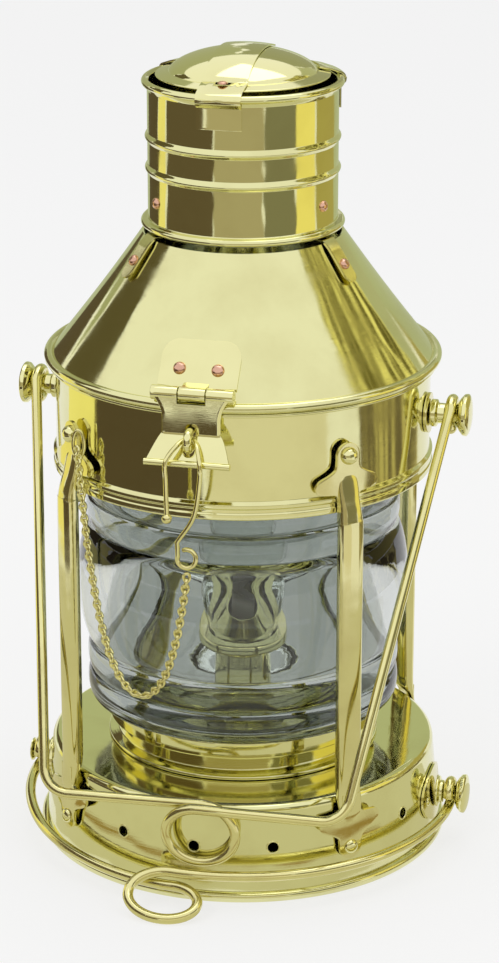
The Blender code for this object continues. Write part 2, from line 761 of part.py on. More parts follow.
def make_main_bail():
    left = bail_side(-1)
    right = bail_side(1)
    corner_left = Vector((-BAIL_CROSS_X, -BAIL_CROSS_Y, BAIL_CROSS_Z))
    corner_right = Vector((BAIL_CROSS_X, -BAIL_CROSS_Y, BAIL_CROSS_Z))
    half_h = (BAIL_LOOP_TOP_Z - BAIL_LOOP_LOW_Z) / 2
    loop = []
    turns = MID_STEPS
    for index in range(turns + 1):
        angle = math.radians(90 - 360 * index / turns)
        loop.append(Vector((
            BAIL_LOOP_X + BAIL_LOOP_HALF_W * math.cos(angle),
            -BAIL_CROSS_Y - BAIL_LOOP_PITCH * index / turns,
            BAIL_LOOP_LOW_Z + half_h + half_h * math.sin(angle),
        )))
    run = loop[-1] + Vector((BAIL_LOOP_RUN, 0, 0))
    points = left
    points += fillet(left[-1], corner_left, loop[0], BAIL_CORNER_R)
    points += loop + [run]
    points += fillet(run, corner_right, right[-1], BAIL_CORNER_R)
    points += list(reversed(right))
    return wire("main_bail", points, WIRE_R)


def low_bow(start, end, start_z, end_z, count):
    """The lower bail's bow between two azimuths, drawn in towards its pivots."""
    points = []
    for index in range(count + 1):
        share = index / count
        azimuth = start + (end - start) * share
        blend = min(1.0, (90 - abs(azimuth)) / (90 - LOW_BLEND_AZIMUTH))
        ease = share * share * (3 - 2 * share)
        radius = LOW_BAIL_X + (LOW_BOW_R - LOW_BAIL_X) * blend
        points.append(polar(radius, azimuth, start_z + (end_z - start_z) * ease))
    return points


def make_lower_bail():
    wire_z = LOW_PIVOT_Z - LOW_EYE_R
    loop_azimuth = math.degrees(math.asin(LOW_LOOP_X / LOW_BOW_R))
    right_eye = eye_points(Vector((LOW_BAIL_X, 0, LOW_PIVOT_Z)), LOW_EYE_R, EYE_TURN - 90, -90)
    left_eye = eye_points(Vector((-LOW_BAIL_X, 0, LOW_PIVOT_Z)), LOW_EYE_R, EYE_TURN - 90, -90)
    right_bow = low_bow(90, loop_azimuth, wire_z, wire_z, 22)
    left_bow = low_bow(-90, loop_azimuth, wire_z, wire_z - LOW_LOOP_PITCH, 18)
    back = right_bow[-1]
    front_drop = wire_z - LOW_LOOP_PITCH / 2 - WIRE_R
    dip = math.asin(front_drop / LOW_LOOP_LEN)
    loop = []
    turns = MID_STEPS
    for index in range(1, turns):
        angle = math.radians(-90 - 360 * index / turns)
        reach = LOW_LOOP_LEN / 2 * (1 + math.sin(angle))
        loop.append(Vector((
            LOW_LOOP_X + LOW_LOOP_HALF_W * math.cos(angle),
            back.y - reach * math.cos(dip),
            wire_z - LOW_LOOP_PITCH * index / turns - reach * math.sin(dip),
        )))
    points = right_eye[:-1] + right_bow + loop + list(reversed(left_bow)) + list(reversed(left_eye[:-1]))
    return wire("lower_bail", points, WIRE_R)


# Staple, hasp and lock

def make_staple_plate():
    inner = DRUM_R + GAP
    top = DRUM_TOP_Z - DRUM_LIP_T - GAP
    return block("staple_plate", (-STAPLE_PLATE_W / 2, -inner - STAPLE_PLATE_T, top - STAPLE_PLATE_H),
                 (STAPLE_PLATE_W / 2, -inner, top))


def make_staple():
    root = -(DRUM_R + STAPLE_PLATE_T + 2 * GAP)
    bend_y = -(STAPLE_REACH - STAPLE_HALF_H)
    bend = [Vector((0, y, z)) for y, z in arc((bend_y, STAPLE_Z), STAPLE_HALF_H, 90, 270, 8)]
    points = [Vector((0, root, bend[0].z))] + bend + [Vector((0, root, bend[-1].z))]
    return wire("staple", points, STAPLE_WIRE_R)


def barrel_piece(piece, y, z, radius, half_w, notch_half=0.0):
    """Adds a hinge barrel to a leaf, clears its middle where the other leaf's knuckle turns, and bores it."""
    piece = combine(piece, rod("barrel", radius, (-half_w, y, z), (half_w, y, z), 20), "UNION")
    if notch_half:
        clear = radius + 2 * GAP
        notch = block("notch", (-notch_half, y - CUT, z - clear), (notch_half, y + CUT, z + CUT))
        piece = combine(piece, notch, "DIFFERENCE")
    bore = rod("bore", PIN_BORE_R, (-2 * half_w, y, z), (2 * half_w, y, z), SMALL_STEPS)
    return combine(piece, bore, "DIFFERENCE")


def plate_station(share):
    """Radius on the hood and half width of the hasp's plate, from its top at 0 to its lower edge at 1."""
    rise = (HASP_PLATE_LOW_R - HASP_PLATE_TOP_R) * CONE_LEN / CONE_RUN
    from_top = rise * share
    half = HASP_PLATE_W / 2
    if from_top < HASP_PLATE_CORNER:
        half -= HASP_PLATE_CORNER - math.sqrt(HASP_PLATE_CORNER ** 2 - (HASP_PLATE_CORNER - from_top) ** 2)
    return HASP_PLATE_TOP_R + (HASP_PLATE_LOW_R - HASP_PLATE_TOP_R) * share, half


def make_hasp_plate():
    rows = 11
    columns = 8
    bm = bmesh.new()
    bmesh.ops.create_grid(bm, x_segments=columns, y_segments=rows, size=0.5)
    lift = GAP + HASP_PLATE_T / 2 + GAP
    for vert in bm.verts:
        cone_r, half = plate_station((0.5 - vert.co.y) ** 1.5)
        r, z = cone_point(cone_r, lift)
        turn = vert.co.x * 2 * half / r
        vert.co = Vector((r * math.sin(turn), -r * math.cos(turn), z))
    plate = from_bmesh("hasp_plate", bm)
    solidify = plate.modifiers.new("Sheet", "SOLIDIFY")
    solidify.thickness = HASP_PLATE_T
    solidify.offset = 0
    plate = applied(plate)
    top_in = cone_point(HASP_PLATE_LOW_R - 2 * HASP_PLATE_T, lift)
    low_in = cone_point(HASP_PLATE_LOW_R, lift - HASP_PLATE_T / 4)
    profile = [
        (-top_in[0], top_in[1]),
        (-low_in[0], low_in[1]),
        (-HASP_PIVOT_Y, HASP_PIVOT_Z - HASP_KNUCKLE_R / 2),
        (-HASP_PIVOT_Y, HASP_PIVOT_Z + HASP_KNUCKLE_R * 0.9),
    ]
    half_middle = HASP_MIDDLE_W / 2 - GAP
    tab = prism("hasp_tab", profile, 2 * (half_middle - GAP), side_frame())
    plate = combine(plate, tab, "UNION")
    return barrel_piece(plate, -HASP_PIVOT_Y, HASP_PIVOT_Z, HASP_KNUCKLE_R, half_middle)


def side_frame(x=0.0):
    """Maps an outline's X and Y to world Y and Z, its thickness along X."""
    return Matrix.Translation((x, 0, 0)) @ Matrix(((0, 0, 1, 0), (1, 0, 0, 0), (0, 1, 0, 0), (0, 0, 0, 1)))


def leaf_station(share):
    """Place (y, z) and half width of the hasp's leaf, from its barrel at 0 to its lip at 1."""
    length = LEAF_BEND_DROP + LEAF_LIP_DROP
    drop = length * share
    out = LEAF_LEAN * share
    if drop > LEAF_BEND_DROP:
        bend = (drop - LEAF_BEND_DROP) / LEAF_LIP_DROP
        out += LEAF_LIP_OUT * bend ** 1.3
    waist = math.sin(math.pi * min(1.0, share * 1.35)) ** 0.8 if share < 0.74 else 0.0
    if share < 0.37:
        half = LEAF_TOP_HALF_W + (LEAF_WAIST_HALF_W - LEAF_TOP_HALF_W) * waist
    else:
        flare = max(0.0, (share - 0.60) / 0.40)
        half = LEAF_WAIST_HALF_W + (LEAF_LIP_HALF_W - LEAF_WAIST_HALF_W) * flare ** 0.8
    return -(HASP_PIVOT_Y + HASP_KNUCKLE_R - LEAF_T / 2 - GAP + out), HASP_PIVOT_Z - drop, half


def make_hasp_leaf():
    rows = 14
    bm = bmesh.new()
    bmesh.ops.create_grid(bm, x_segments=4, y_segments=rows, size=0.5)
    for vert in bm.verts:
        y, z, half = leaf_station(0.5 - vert.co.y)
        vert.co = Vector((vert.co.x * 2 * half, y, z))
    leaf = from_bmesh("hasp_leaf", bm)
    solidify = leaf.modifiers.new("Sheet", "SOLIDIFY")
    solidify.thickness = LEAF_T
    solidify.offset = 0
    leaf = applied(leaf)
    y, z, half = leaf_station(1.0)
    half += GAP
    leaf = combine(leaf, rod("lip", LEAF_LIP_ROLL_R, (-half, y, z), (half, y, z)), "UNION")
    slot_half_h = STAPLE_HALF_H + STAPLE_WIRE_R + SLOT_CLEAR
    slot = block("slot", (-SLOT_W / 2, y - CUT, STAPLE_Z - slot_half_h), (SLOT_W / 2, y + CUT, STAPLE_Z + slot_half_h))
    leaf = combine(leaf, slot, "DIFFERENCE")
    notch_half = HASP_MIDDLE_W / 2 + GAP / 2
    return barrel_piece(leaf, -HASP_PIVOT_Y, HASP_PIVOT_Z, HASP_KNUCKLE_R, HASP_BARREL_W / 2, notch_half)


def make_hinge_pin(name, y, z, width):
    return rod(name, PIN_R, (-width / 2, y, z), (width / 2, y, z), SMALL_STEPS)


def lock_route():
    """The pin's bent wire, from its ball up through the staple and down to its ring."""
    out = -LOCK_OUT_Y
    eye_y = -(STAPLE_REACH - STAPLE_HALF_H)
    top = STAPLE_Z + GAP
    middle_z = (LOCK_BALL_Z + top) / 2
    shoulder_z = STAPLE_Z - 2 * STAPLE_HALF_H
    knee_z = STAPLE_Z - STAPLE_HALF_H / 2
    knee_y = (out + eye_y) / 2
    grip = STAPLE_HALF_H / 2
    return [
        Vector((LOCK_LEG_LEFT_X + SHEET / 2, out, LOCK_BALL_Z)),
        Vector((LOCK_LEG_LEFT_X, out, middle_z)),
        Vector((LOCK_LEG_LEFT_X, out, shoulder_z)),
        Vector((LOCK_LEG_LEFT_X * 0.60, knee_y, knee_z)),
        Vector((-grip, eye_y, top)),
        Vector((grip, eye_y, top)),
        Vector((LOCK_LEG_RIGHT_X * 0.70, knee_y, knee_z)),
        Vector((LOCK_LEG_RIGHT_X, out, shoulder_z)),
        Vector((LOCK_LEG_RIGHT_X, out, middle_z + STAPLE_HALF_H / 2)),
        Vector((LOCK_LEG_RIGHT_X * 0.60, out, LOCK_BALL_Z + STAPLE_HALF_H / 2)),
        Vector((LOCK_RING_X - LOCK_RING_R, out, LOCK_RING_Z + 2 * LOCK_RING_R)),
    ]


def smooth_route(points, steps=3):
    """A Catmull-Rom curve through a route's points."""
    padded = [2 * points[0] - points[1]] + list(points) + [2 * points[-1] - points[-2]]
    curve = []
    for index in range(1, len(padded) - 2):
        before, start, end, after = padded[index - 1:index + 3]
        for step in range(steps):
            t = step / steps
            curve.append(0.5 * (2 * start + (end - before) * t
                                + (2 * before - 5 * start + 4 * end - after) * t ** 2
                                + (3 * start - before - 3 * end + after) * t ** 3))
    curve.append(points[-1])
    return curve


def make_lock_pin():
    route = smooth_route(lock_route())
    ring = []
    turns = SMALL_STEPS
    for index in range(1, turns + 1):
        angle = math.radians(150 + 330 * index / turns)
        ring.append(Vector((
            LOCK_RING_X + LOCK_RING_R * math.cos(angle),
            -LOCK_OUT_Y + LOCK_RING_PITCH * index / turns,
            LOCK_RING_Z + LOCK_RING_R * math.sin(angle),
        )))
    pin = applied(wire("lock_pin", route + ring, LOCK_WIRE_R))
    bm = bmesh.new()
    bmesh.ops.create_uvsphere(bm, u_segments=10, v_segments=6, radius=LOCK_BALL_R)
    bm.transform(Matrix.Translation(route[0]))
    return combine(pin, from_bmesh("ball", bm), "UNION")


def hanging_points(start, end, length, count):
    """Points of a chain of a given length that hangs between two places."""
    level = Vector((end.x - start.x, end.y - start.y, 0))
    span = level.length
    rise = end.z - start.z
    slack = math.sqrt(length ** 2 - rise ** 2)
    low, high = span / 40, span * 40
    for _ in range(60):
        scale = (low + high) / 2
        if 2 * scale * math.sinh(span / 2 / scale) > slack:
            low = scale
        else:
            high = scale
    lowest = span / 2 - scale * math.atanh(rise / length)
    base = start.z - scale * math.cosh(-lowest / scale)
    half_length = scale * math.sinh(-lowest / scale)
    points = []
    for index in range(count + 1):
        along = lowest + scale * math.asinh((half_length + length * index / count) / scale)
        point = start + level * (along / span)
        point.z = base + scale * math.cosh((along - lowest) / scale)
        points.append(point)
    return points


def make_lock_chain():
    ring_low = LOCK_RING_Z - LOCK_RING_R - LOCK_WIRE_R - CHAIN_R - GAP
    start = Vector((LOCK_RING_X, -LOCK_OUT_Y + LOCK_RING_PITCH / 2, ring_low))
    end = polar(CHAIN_TOP_R, CHAIN_TOP_AZIMUTH, CHAIN_TOP_Z)
    return wire("lock_chain", hanging_points(start, end, CHAIN_LEN, CHAIN_POINTS), CHAIN_R)


# Hood, chimney and cap

def make_hood():
    roll = (RIM_CENTRE_R, RIM_Z)
    inner_top = cone_point(HOOD_TOP_R, -SHEET)
    outline = [(HOOD_TOP_R, HOOD_TOP_Z), ((HOOD_TOP_R + HOOD_EDGE_R) / 2, cone_z((HOOD_TOP_R + HOOD_EDGE_R) / 2))]
    outline += [(HOOD_EDGE_R, CONE_LOW_Z)]
    outline += arc(roll, RIM_ROLL_R, 100, -100, 7)
    outline += [(RIM_CENTRE_R - RIM_ROLL_R, RIM_Z - RIM_ROLL_R / 2), cone_point(HOOD_EDGE_R - SHEET, -SHEET)]
    outline += [(inner_top[0], HOOD_TOP_Z)]
    return turned("hood", outline)


def bead(z):
    """A raised bead round the chimney, from top to bottom."""
    return [
        (CHIMNEY_R, z + BEAD_HALF_H),
        (CHIMNEY_R + BEAD_OUT, z + BEAD_CREST_HALF_H),
        (CHIMNEY_R + BEAD_OUT, z - BEAD_CREST_HALF_H),
        (CHIMNEY_R, z - BEAD_HALF_H),
    ]


def make_chimney():
    lip = (CHIMNEY_LIP_R - CHIMNEY_ROLL_R, CHIMNEY_LIP_Z)
    flange = (FLANGE_R - CHIMNEY_ROLL_R, FLANGE_Z)
    inner = CHIMNEY_R - SHEET
    outline = arc(lip, CHIMNEY_ROLL_R, 110, -90, 6)
    outline += [(CHIMNEY_R, CHIMNEY_LIP_Z - 2 * CHIMNEY_ROLL_R)]
    outline += bead(UPPER_BEAD_Z) + bead(LOWER_BEAD_Z)
    outline += [(CHIMNEY_R, FLANGE_Z + CHIMNEY_ROLL_R)]
    outline += arc(flange, CHIMNEY_ROLL_R, 70, -90, 5)
    outline += [(inner, FLANGE_Z - CHIMNEY_ROLL_R), (inner, CHIMNEY_LIP_Z + CHIMNEY_ROLL_R / 2)]
    return turned("chimney", outline)


def make_cap():
    dome_h = CAP_TOP_Z - CAP_DOME_Z
    outer = []
    for index in range(7):
        angle = math.radians(90 - 90 * index / 6)
        outer.append((CAP_DOME_R * math.cos(angle), CAP_DOME_Z + dome_h * math.sin(angle)))
    outer[0] = (0, CAP_TOP_Z)
    inner = [(r * (1 - CAP_T / CAP_DOME_R), z - CAP_T) for r, z in reversed(outer)]
    brim = [(CAP_R, CAP_BRIM_Z), (CAP_R, CAP_BRIM_Z - CAP_T)]
    return turned("cap", outer + brim + inner, BIG_STEPS, ring=False)


def strip_outline(route, thickness):
    """A closed outline of even thickness along a route of points (x, y)."""
    normals = []
    for index in range(len(route)):
        before = Vector(route[max(index - 1, 0)])
        after = Vector(route[min(index + 1, len(route) - 1)])
        along = (after - before).normalized()
        normals.append(Vector((-along.y, along.x)) * thickness / 2)
    one = [Vector(p) + n for p, n in zip(route, normals)]
    other = [Vector(p) - n for p, n in zip(route, normals)]
    return [tuple(p) for p in one + other[::-1]]


def strip_piece(name, route, thickness, width, azimuth):
    """A bent strip from a side route (r, z), on the -Y side, turned to its azimuth."""
    outline = strip_outline([(-r, z) for r, z in route], thickness)
    return moved(prism(name, outline, width, side_frame()), facing(azimuth))


def make_cap_clip(index, azimuth):
    lift = GAP + CLIP_T / 2
    lip_r = CHIMNEY_LIP_R - CHIMNEY_ROLL_R
    reach = CHIMNEY_ROLL_R + lift
    brim_z = CAP_BRIM_Z + lift
    route = [(CLIP_IN_R, CAP_DOME_Z + lift), (CAP_R, brim_z + GAP)]
    route += arc((lip_r, CHIMNEY_LIP_Z), reach, 75, 0, 4)
    low = CHIMNEY_LIP_Z - CLIP_DROP
    wall = CHIMNEY_R + lift
    route += [(lip_r + reach - GAP, CHIMNEY_LIP_Z - CHIMNEY_ROLL_R), (wall, CHIMNEY_LIP_Z - 2 * CHIMNEY_ROLL_R - GAP)]
    route += [(wall, low)]
    return strip_piece("cap_clip_%d" % index, route, CLIP_T, CLIP_W, azimuth)


def make_cap_rivet():
    z = CAP_DOME_Z + CLIP_T + 3 * GAP
    return rivet_head("cap_rivet", CLIP_RIVET_R, CLIP_RIVET_H, Matrix.Translation((0, -CLIP_RIVET_AT_R, z)))


def make_strap(index, azimuth):
    inner = CHIMNEY_R - SHEET - GAP - STRAP_T / 2 - GAP
    under = (FLANGE_Z - CHIMNEY_ROLL_R + HOOD_TOP_Z) / 2
    lift = STRAP_LIFT + STRAP_T / 2
    route = [
        (inner, STRAP_TOP_Z),
        (inner, under + 2 * STRAP_T),
        (inner + STRAP_T / 2, under + STRAP_T / 2),
        (inner + 2 * STRAP_T, under),
        (HOOD_TOP_R, under),
        cone_point(HOOD_TOP_R + 2 * STRAP_T, lift),
        cone_point(STRAP_END_R, lift),
    ]
    return strip_piece("strap_%d" % index, route, STRAP_T, STRAP_W, azimuth)


def make_strap_cone_rivet(index, azimuth):
    place = cone_place(STRAP_RIVET_CONE_R, STRAP_LIFT + STRAP_T + GAP, azimuth)
    return rivet_head("strap_rivet_low_%d" % index, STRAP_RIVET_R, STRAP_RIVET_H, place)


def make_strap_tube_rivet(index, azimuth):
    place = facing(azimuth) @ front_frame(CHIMNEY_R + GAP, STRAP_RIVET_Z)
    return rivet_head("strap_rivet_high_%d" % index, STRAP_RIVET_R, STRAP_RIVET_H, place)


def make_hasp_rivet(name, side):
    lean = math.hypot(HASP_RIVET_CONE_R, HASP_RIVET_X) - HASP_RIVET_CONE_R
    azimuth = math.degrees(math.asin(side * HASP_RIVET_X / (HASP_RIVET_CONE_R + lean)))
    place = cone_place(HASP_RIVET_CONE_R, 3 * GAP + HASP_PLATE_T, azimuth)
    return rivet_head(name, RIVET_R, RIVET_H, place)


# Hood hinge

def make_hood_leaf():
    lift = HOOD_LEAF_LIFT + SHEET / 2
    route = [
        cone_point(HOOD_LEAF_CONE_R, lift),
        cone_point(HOOD_EDGE_R - 4 * SHEET, lift),
        (RIM_CENTRE_R, HOOD_PIVOT_Z + HOOD_KNUCKLE_R - SHEET / 2 + SHEET),
        (HOOD_PIVOT_Y, HOOD_PIVOT_Z + HOOD_KNUCKLE_R - SHEET / 2),
    ]
    half = HOOD_MIDDLE_W / 2 - GAP
    leaf = strip_piece("hood_leaf", route, SHEET, 2 * (half - GAP), 180)
    return barrel_piece(leaf, HOOD_PIVOT_Y, HOOD_PIVOT_Z, HOOD_KNUCKLE_R, half)


def make_drum_leaf():
    wall = DRUM_R + 3 * GAP + SHEET / 2
    route = [
        (wall, DRUM_LEAF_LOW_Z),
        (wall, DRUM_LEAF_SHELF_Z - SHEET),
        (wall + SHEET, DRUM_LEAF_SHELF_Z),
        (HOOD_PIVOT_Y - SHEET, DRUM_LEAF_SHELF_Z),
        (HOOD_PIVOT_Y + HOOD_KNUCKLE_R - SHEET / 2, HOOD_PIVOT_Z - HOOD_KNUCKLE_R),
        (HOOD_PIVOT_Y + HOOD_KNUCKLE_R - SHEET / 2, HOOD_PIVOT_Z),
    ]
    leaf = strip_piece("drum_leaf", route, SHEET, HOOD_BARREL_W - 2 * GAP, 180)
    half = HOOD_BARREL_W / 2
    return barrel_piece(leaf, HOOD_PIVOT_Y, HOOD_PIVOT_Z, HOOD_KNUCKLE_R, half, HOOD_MIDDLE_W / 2)


# Font, burner and wick

def make_font():
    low = BOTTOM_T + GAP
    dome = []
    for index in range(5):
        angle = math.radians(90 * index / 5)
        dome.append((FONT_NECK_R + (FONT_R - FONT_NECK_R) * math.sin(angle),
                     FONT_SHOULDER_Z + (FONT_NECK_Z - FONT_SHOULDER_Z) * FONT_DOME_SHARE * math.cos(angle)))
    outer = [(FONT_NECK_R, FONT_NECK_Z)] + dome + [(FONT_R, FONT_SHOULDER_Z), (FONT_R, low), (0, low)]
    inner = [(0, low + SHEET), (FONT_R - SHEET, low + SHEET), (FONT_R - SHEET, FONT_SHOULDER_Z)]
    inner += [(r - SHEET, z - SHEET) for r, z in reversed(dome)]
    inner += [(FONT_NECK_R - SHEET, FONT_NECK_Z)]
    return turned("oil_font", inner + outer, MID_STEPS, ring=False)


def make_burner():
    low = FONT_NECK_Z + GAP
    crown = BURNER_GALLERY_Z + BURNER_GALLERY_T
    outline = [
        (BURNER_BORE_R + SHEET, crown + BURNER_CROWN_H),
        (BURNER_TUBE_R, crown),
        (BURNER_GALLERY_R, crown),
        (BURNER_GALLERY_R, BURNER_GALLERY_Z),
        (BURNER_TUBE_R, BURNER_GALLERY_Z - BURNER_GALLERY_T),
        (BURNER_TUBE_R, low + BURNER_COLLAR_H + SHEET),
        (BURNER_COLLAR_R, low + BURNER_COLLAR_H),
        (BURNER_COLLAR_R, low),
        (BURNER_BORE_R, low),
        (BURNER_BORE_R, crown + BURNER_CROWN_H),
    ]
    burner = turned("burner", outline, MID_STEPS)
    drill = rod("shaft_hole", WHEEL_SHAFT_R + GAP, (0, WHEEL_Y, WHEEL_Z), (WHEEL_X, WHEEL_Y, WHEEL_Z))
    return combine(burner, drill, "DIFFERENCE")


def make_glass_chimney():
    low = BURNER_GALLERY_Z + BURNER_GALLERY_T + GAP
    outer = []
    for index in range(GLASS_POINTS + 1):
        share = 1 - index / GLASS_POINTS
        if share > GLASS_BULB_SHARE:
            fade = (share - GLASS_BULB_SHARE) / (1 - GLASS_BULB_SHARE)
            radius = GLASS_TOP_R + (GLASS_BULB_R - GLASS_TOP_R) * math.cos(fade * math.pi / 2) ** 2
        else:
            rise = share / GLASS_BULB_SHARE
            radius = GLASS_FOOT_R + (GLASS_BULB_R - GLASS_FOOT_R) * math.sin(rise * math.pi / 2)
        outer.append((radius, low + GLASS_H * share))
    inner = [(r - GLASS_T, z) for r, z in reversed(outer)]
    return turned("glass_chimney", outer + inner, MID_STEPS)


def make_wick():
    return block("wick", (-WICK_W / 2, -WICK_T / 2, WICK_Z), (WICK_W / 2, WICK_T / 2, WICK_TOP_Z))


def make_wick_wheel():
    wheel = rod("wick_wheel", WHEEL_SHAFT_R, (WHEEL_SHAFT_IN_X, WHEEL_Y, WHEEL_Z), (WHEEL_X, WHEEL_Y, WHEEL_Z), 10)
    disc = rod("disc", WHEEL_R, (WHEEL_X - GAP, WHEEL_Y, WHEEL_Z), (WHEEL_X + WHEEL_T, WHEEL_Y, WHEEL_Z), 20)
    return combine(wheel, disc, "UNION")


# Assembly

def finish_piece(piece, material, collection, pivot=None):
    """Puts a piece in the lamp's collection with its material, and under its joint's empty where it has one."""
    piece.data.materials.clear()
    piece.data.materials.append(material)
    if piece.type == "MESH":
        piece.data.shade_smooth()
        piece.data.set_sharp_from_angle(angle=math.radians(40))
    for owner in list(piece.users_collection):
        owner.objects.unlink(piece)
    collection.objects.link(piece)
    if pivot is not None:
        piece.parent = pivot
        piece.matrix_parent_inverse = pivot.matrix_world.inverted()


def add_pivot(name, place, collection, parent=None):
    pivot = bpy.data.objects.new(name, None)
    collection.objects.link(pivot)
    pivot.empty_display_size = KNOB_HEAD_R
    pivot.location = place
    bpy.context.view_layer.update()
    if parent is not None:
        pivot.parent = parent
        pivot.matrix_parent_inverse = parent.matrix_world.inverted()
        bpy.context.view_layer.update()
    return pivot


def main():
    for old in list(bpy.data.objects):
        bpy.data.objects.remove(old)
    lamp = new_collection("anchor_lamp")
    brass = make_material("brass", BRASS_COLOUR, 1.0, 0.12)
    copper = make_material("copper", COPPER_COLOUR, 1.0, 0.25)
    glass = make_material("glass", GLASS_COLOUR, 0.0, 0.03, 1.0)
    cotton = make_material("wick_cotton", WICK_COLOUR, 0.0, 0.9)

    hood_pivot = add_pivot("hood_axis", (0, HOOD_PIVOT_Y, HOOD_PIVOT_Z), lamp)
    hasp_pivot = add_pivot("hasp_axis", (0, -HASP_PIVOT_Y, HASP_PIVOT_Z), lamp, hood_pivot)
    bail_pivot = add_pivot("main_bail_axis", (0, 0, PIVOT_Z), lamp)
    low_pivot = add_pivot("lower_bail_axis", (0, 0, LOW_PIVOT_Z), lamp)
    wheel_pivot = add_pivot("wick_wheel_axis", (WHEEL_X, WHEEL_Y, WHEEL_Z), lamp)

    fixed = [make_base_skirt(), make_base_bottom(), make_lens_seat(), make_drum()]
    for index, azimuth in enumerate(GUARD_AZIMUTHS, 1):
        fixed += [make_guard(index, azimuth), make_guard_bolt(index, azimuth), make_foot_rivet(index, azimuth)]
    for word, side in (("right", 1), ("left", -1)):
        fixed += [make_drum_pad("drum_pad_" + word, side), make_bail_knob("bail_knob_" + word, side)]
        fixed.append(make_base_pad("base_pad_" + word, side))
    fixed.append(make_base_knob("base_knob_right", 1, LOW_KNOB_R, LOW_KNOB_T))
    fixed.append(make_base_knob("base_stud_left", -1, LOW_STUD_R, LOW_STUD_T))
    fixed += [make_staple_plate(), make_staple(), make_lock_pin(), make_lock_chain()]
    fixed += [make_font(), make_burner(), make_drum_leaf()]
    fixed.append(make_hinge_pin("hood_hinge_pin", HOOD_PIVOT_Y, HOOD_PIVOT_Z, HOOD_BARREL_W))
    for piece in fixed:
        finish_piece(piece, brass, lamp)
    for piece in (make_lens(), make_glass_chimney()):
        finish_piece(piece, glass, lamp)
    finish_piece(make_wick(), cotton, lamp)
    finish_piece(make_wick_wheel(), brass, lamp, wheel_pivot)

    lid = [make_hood(), make_chimney(), make_cap(), make_hasp_plate(), make_hood_leaf()]
    lid.append(make_hinge_pin("hasp_pin", -HASP_PIVOT_Y, HASP_PIVOT_Z, HASP_BARREL_W))
    rivets = [make_cap_rivet(), make_hasp_rivet("hasp_rivet_right", 1), make_hasp_rivet("hasp_rivet_left", -1)]
    for index, azimuth in enumerate(STRAP_AZIMUTHS, 1):
        lid += [make_strap(index, azimuth), make_cap_clip(index, (index - 1) * 120)]
        rivets += [make_strap_cone_rivet(index, azimuth), make_strap_tube_rivet(index, azimuth)]
    for piece in lid:
        finish_piece(piece, brass, lamp, hood_pivot)
    for piece in rivets:
        finish_piece(piece, copper, lamp, hood_pivot)
    finish_piece(make_hasp_leaf(), brass, lamp, hasp_pivot)
    finish_piece(make_main_bail(), brass, lamp, bail_pivot)
    finish_piece(make_lower_bail(), brass, lamp, low_pivot)


main()
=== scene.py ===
"""Dresses the anchor lamp: spun brass, stepped glass, copper rivets, wire bails and a chain.

Metres, +Z up, the hasp faces -Y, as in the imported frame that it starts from.
"""

from __future__ import annotations

import json
import logging
import math
from dataclasses import dataclass
from enum import Enum
from typing import Callable, Sequence

import bmesh
import bpy
from mathutils import Matrix, Vector

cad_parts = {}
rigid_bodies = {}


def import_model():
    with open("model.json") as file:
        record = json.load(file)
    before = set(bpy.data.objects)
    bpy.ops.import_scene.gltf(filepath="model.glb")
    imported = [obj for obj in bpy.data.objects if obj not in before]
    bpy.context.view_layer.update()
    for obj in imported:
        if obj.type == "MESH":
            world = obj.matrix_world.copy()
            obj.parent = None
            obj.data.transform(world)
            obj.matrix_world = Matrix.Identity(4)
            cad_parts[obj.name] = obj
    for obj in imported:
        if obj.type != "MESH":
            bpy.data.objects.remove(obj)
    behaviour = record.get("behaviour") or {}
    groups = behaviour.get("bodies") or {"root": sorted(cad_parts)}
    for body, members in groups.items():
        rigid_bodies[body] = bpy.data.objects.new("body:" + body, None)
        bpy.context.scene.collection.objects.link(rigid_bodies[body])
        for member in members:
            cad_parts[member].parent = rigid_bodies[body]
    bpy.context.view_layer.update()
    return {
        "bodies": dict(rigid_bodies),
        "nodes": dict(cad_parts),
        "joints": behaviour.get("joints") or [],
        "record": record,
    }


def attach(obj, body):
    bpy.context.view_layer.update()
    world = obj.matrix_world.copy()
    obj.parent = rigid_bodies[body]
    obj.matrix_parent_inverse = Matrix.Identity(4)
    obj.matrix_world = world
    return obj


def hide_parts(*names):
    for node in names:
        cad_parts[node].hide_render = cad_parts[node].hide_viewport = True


LOG = logging.getLogger("anchor_lamp")

Profile = list[tuple[float, float]]
Colour = tuple[float, float, float]
Outline = Sequence[tuple[float, float]]
Piece = bpy.types.Object
Material = bpy.types.Material
Tree = bpy.types.NodeTree
Socket = bpy.types.NodeSocket

# Levels and radii that more than one sub-assembly shares
GAP = 0.0003
SHEET = 0.0010
BASE_R = 0.1000
FOOT_BEAD_R = 0.0025
SKIRT_FOOT_R = BASE_R - 0.0030
SKIRT_TOP_R = SKIRT_FOOT_R - 0.0033
BASE_H = 0.0475
BASE_EDGE_R = 0.0040
SEAT_TOP_Z = BASE_H + GAP + 0.0190
LENS_LOW_Z = SEAT_TOP_Z + GAP
LENS_TOP_Z = LENS_LOW_Z + 0.1201
LENS_NECK_R = 0.0632
DRUM_R = 0.0890
DRUM_Z = LENS_TOP_Z + GAP
DRUM_TOP_Z = DRUM_Z + 0.0508
DRUM_BAND_R = DRUM_R + 0.0015
DRUM_LIP_T = 0.0017
GUARD_AZIMUTHS = (45.0, 135.0, 225.0, 315.0)
GUARD_IN_R = DRUM_BAND_R + 0.0005
LUG_EYE_Z = DRUM_Z + 0.0275
PIVOT_Z = DRUM_TOP_Z - 0.0213
LOW_PIVOT_Z = 2 * FOOT_BEAD_R + 0.0180
WIRE_R = 0.0025
BAIL_X = DRUM_R + 0.0120
KNOB_NECK_R = 0.0042
LOW_BAIL_X = BASE_R + 0.0045
LOW_NECK_R = 0.0027
STAPLE_Z = DRUM_TOP_Z - 0.0108
STAPLE_HALF_H = 0.0040
STAPLE_REACH = DRUM_R + 0.0140
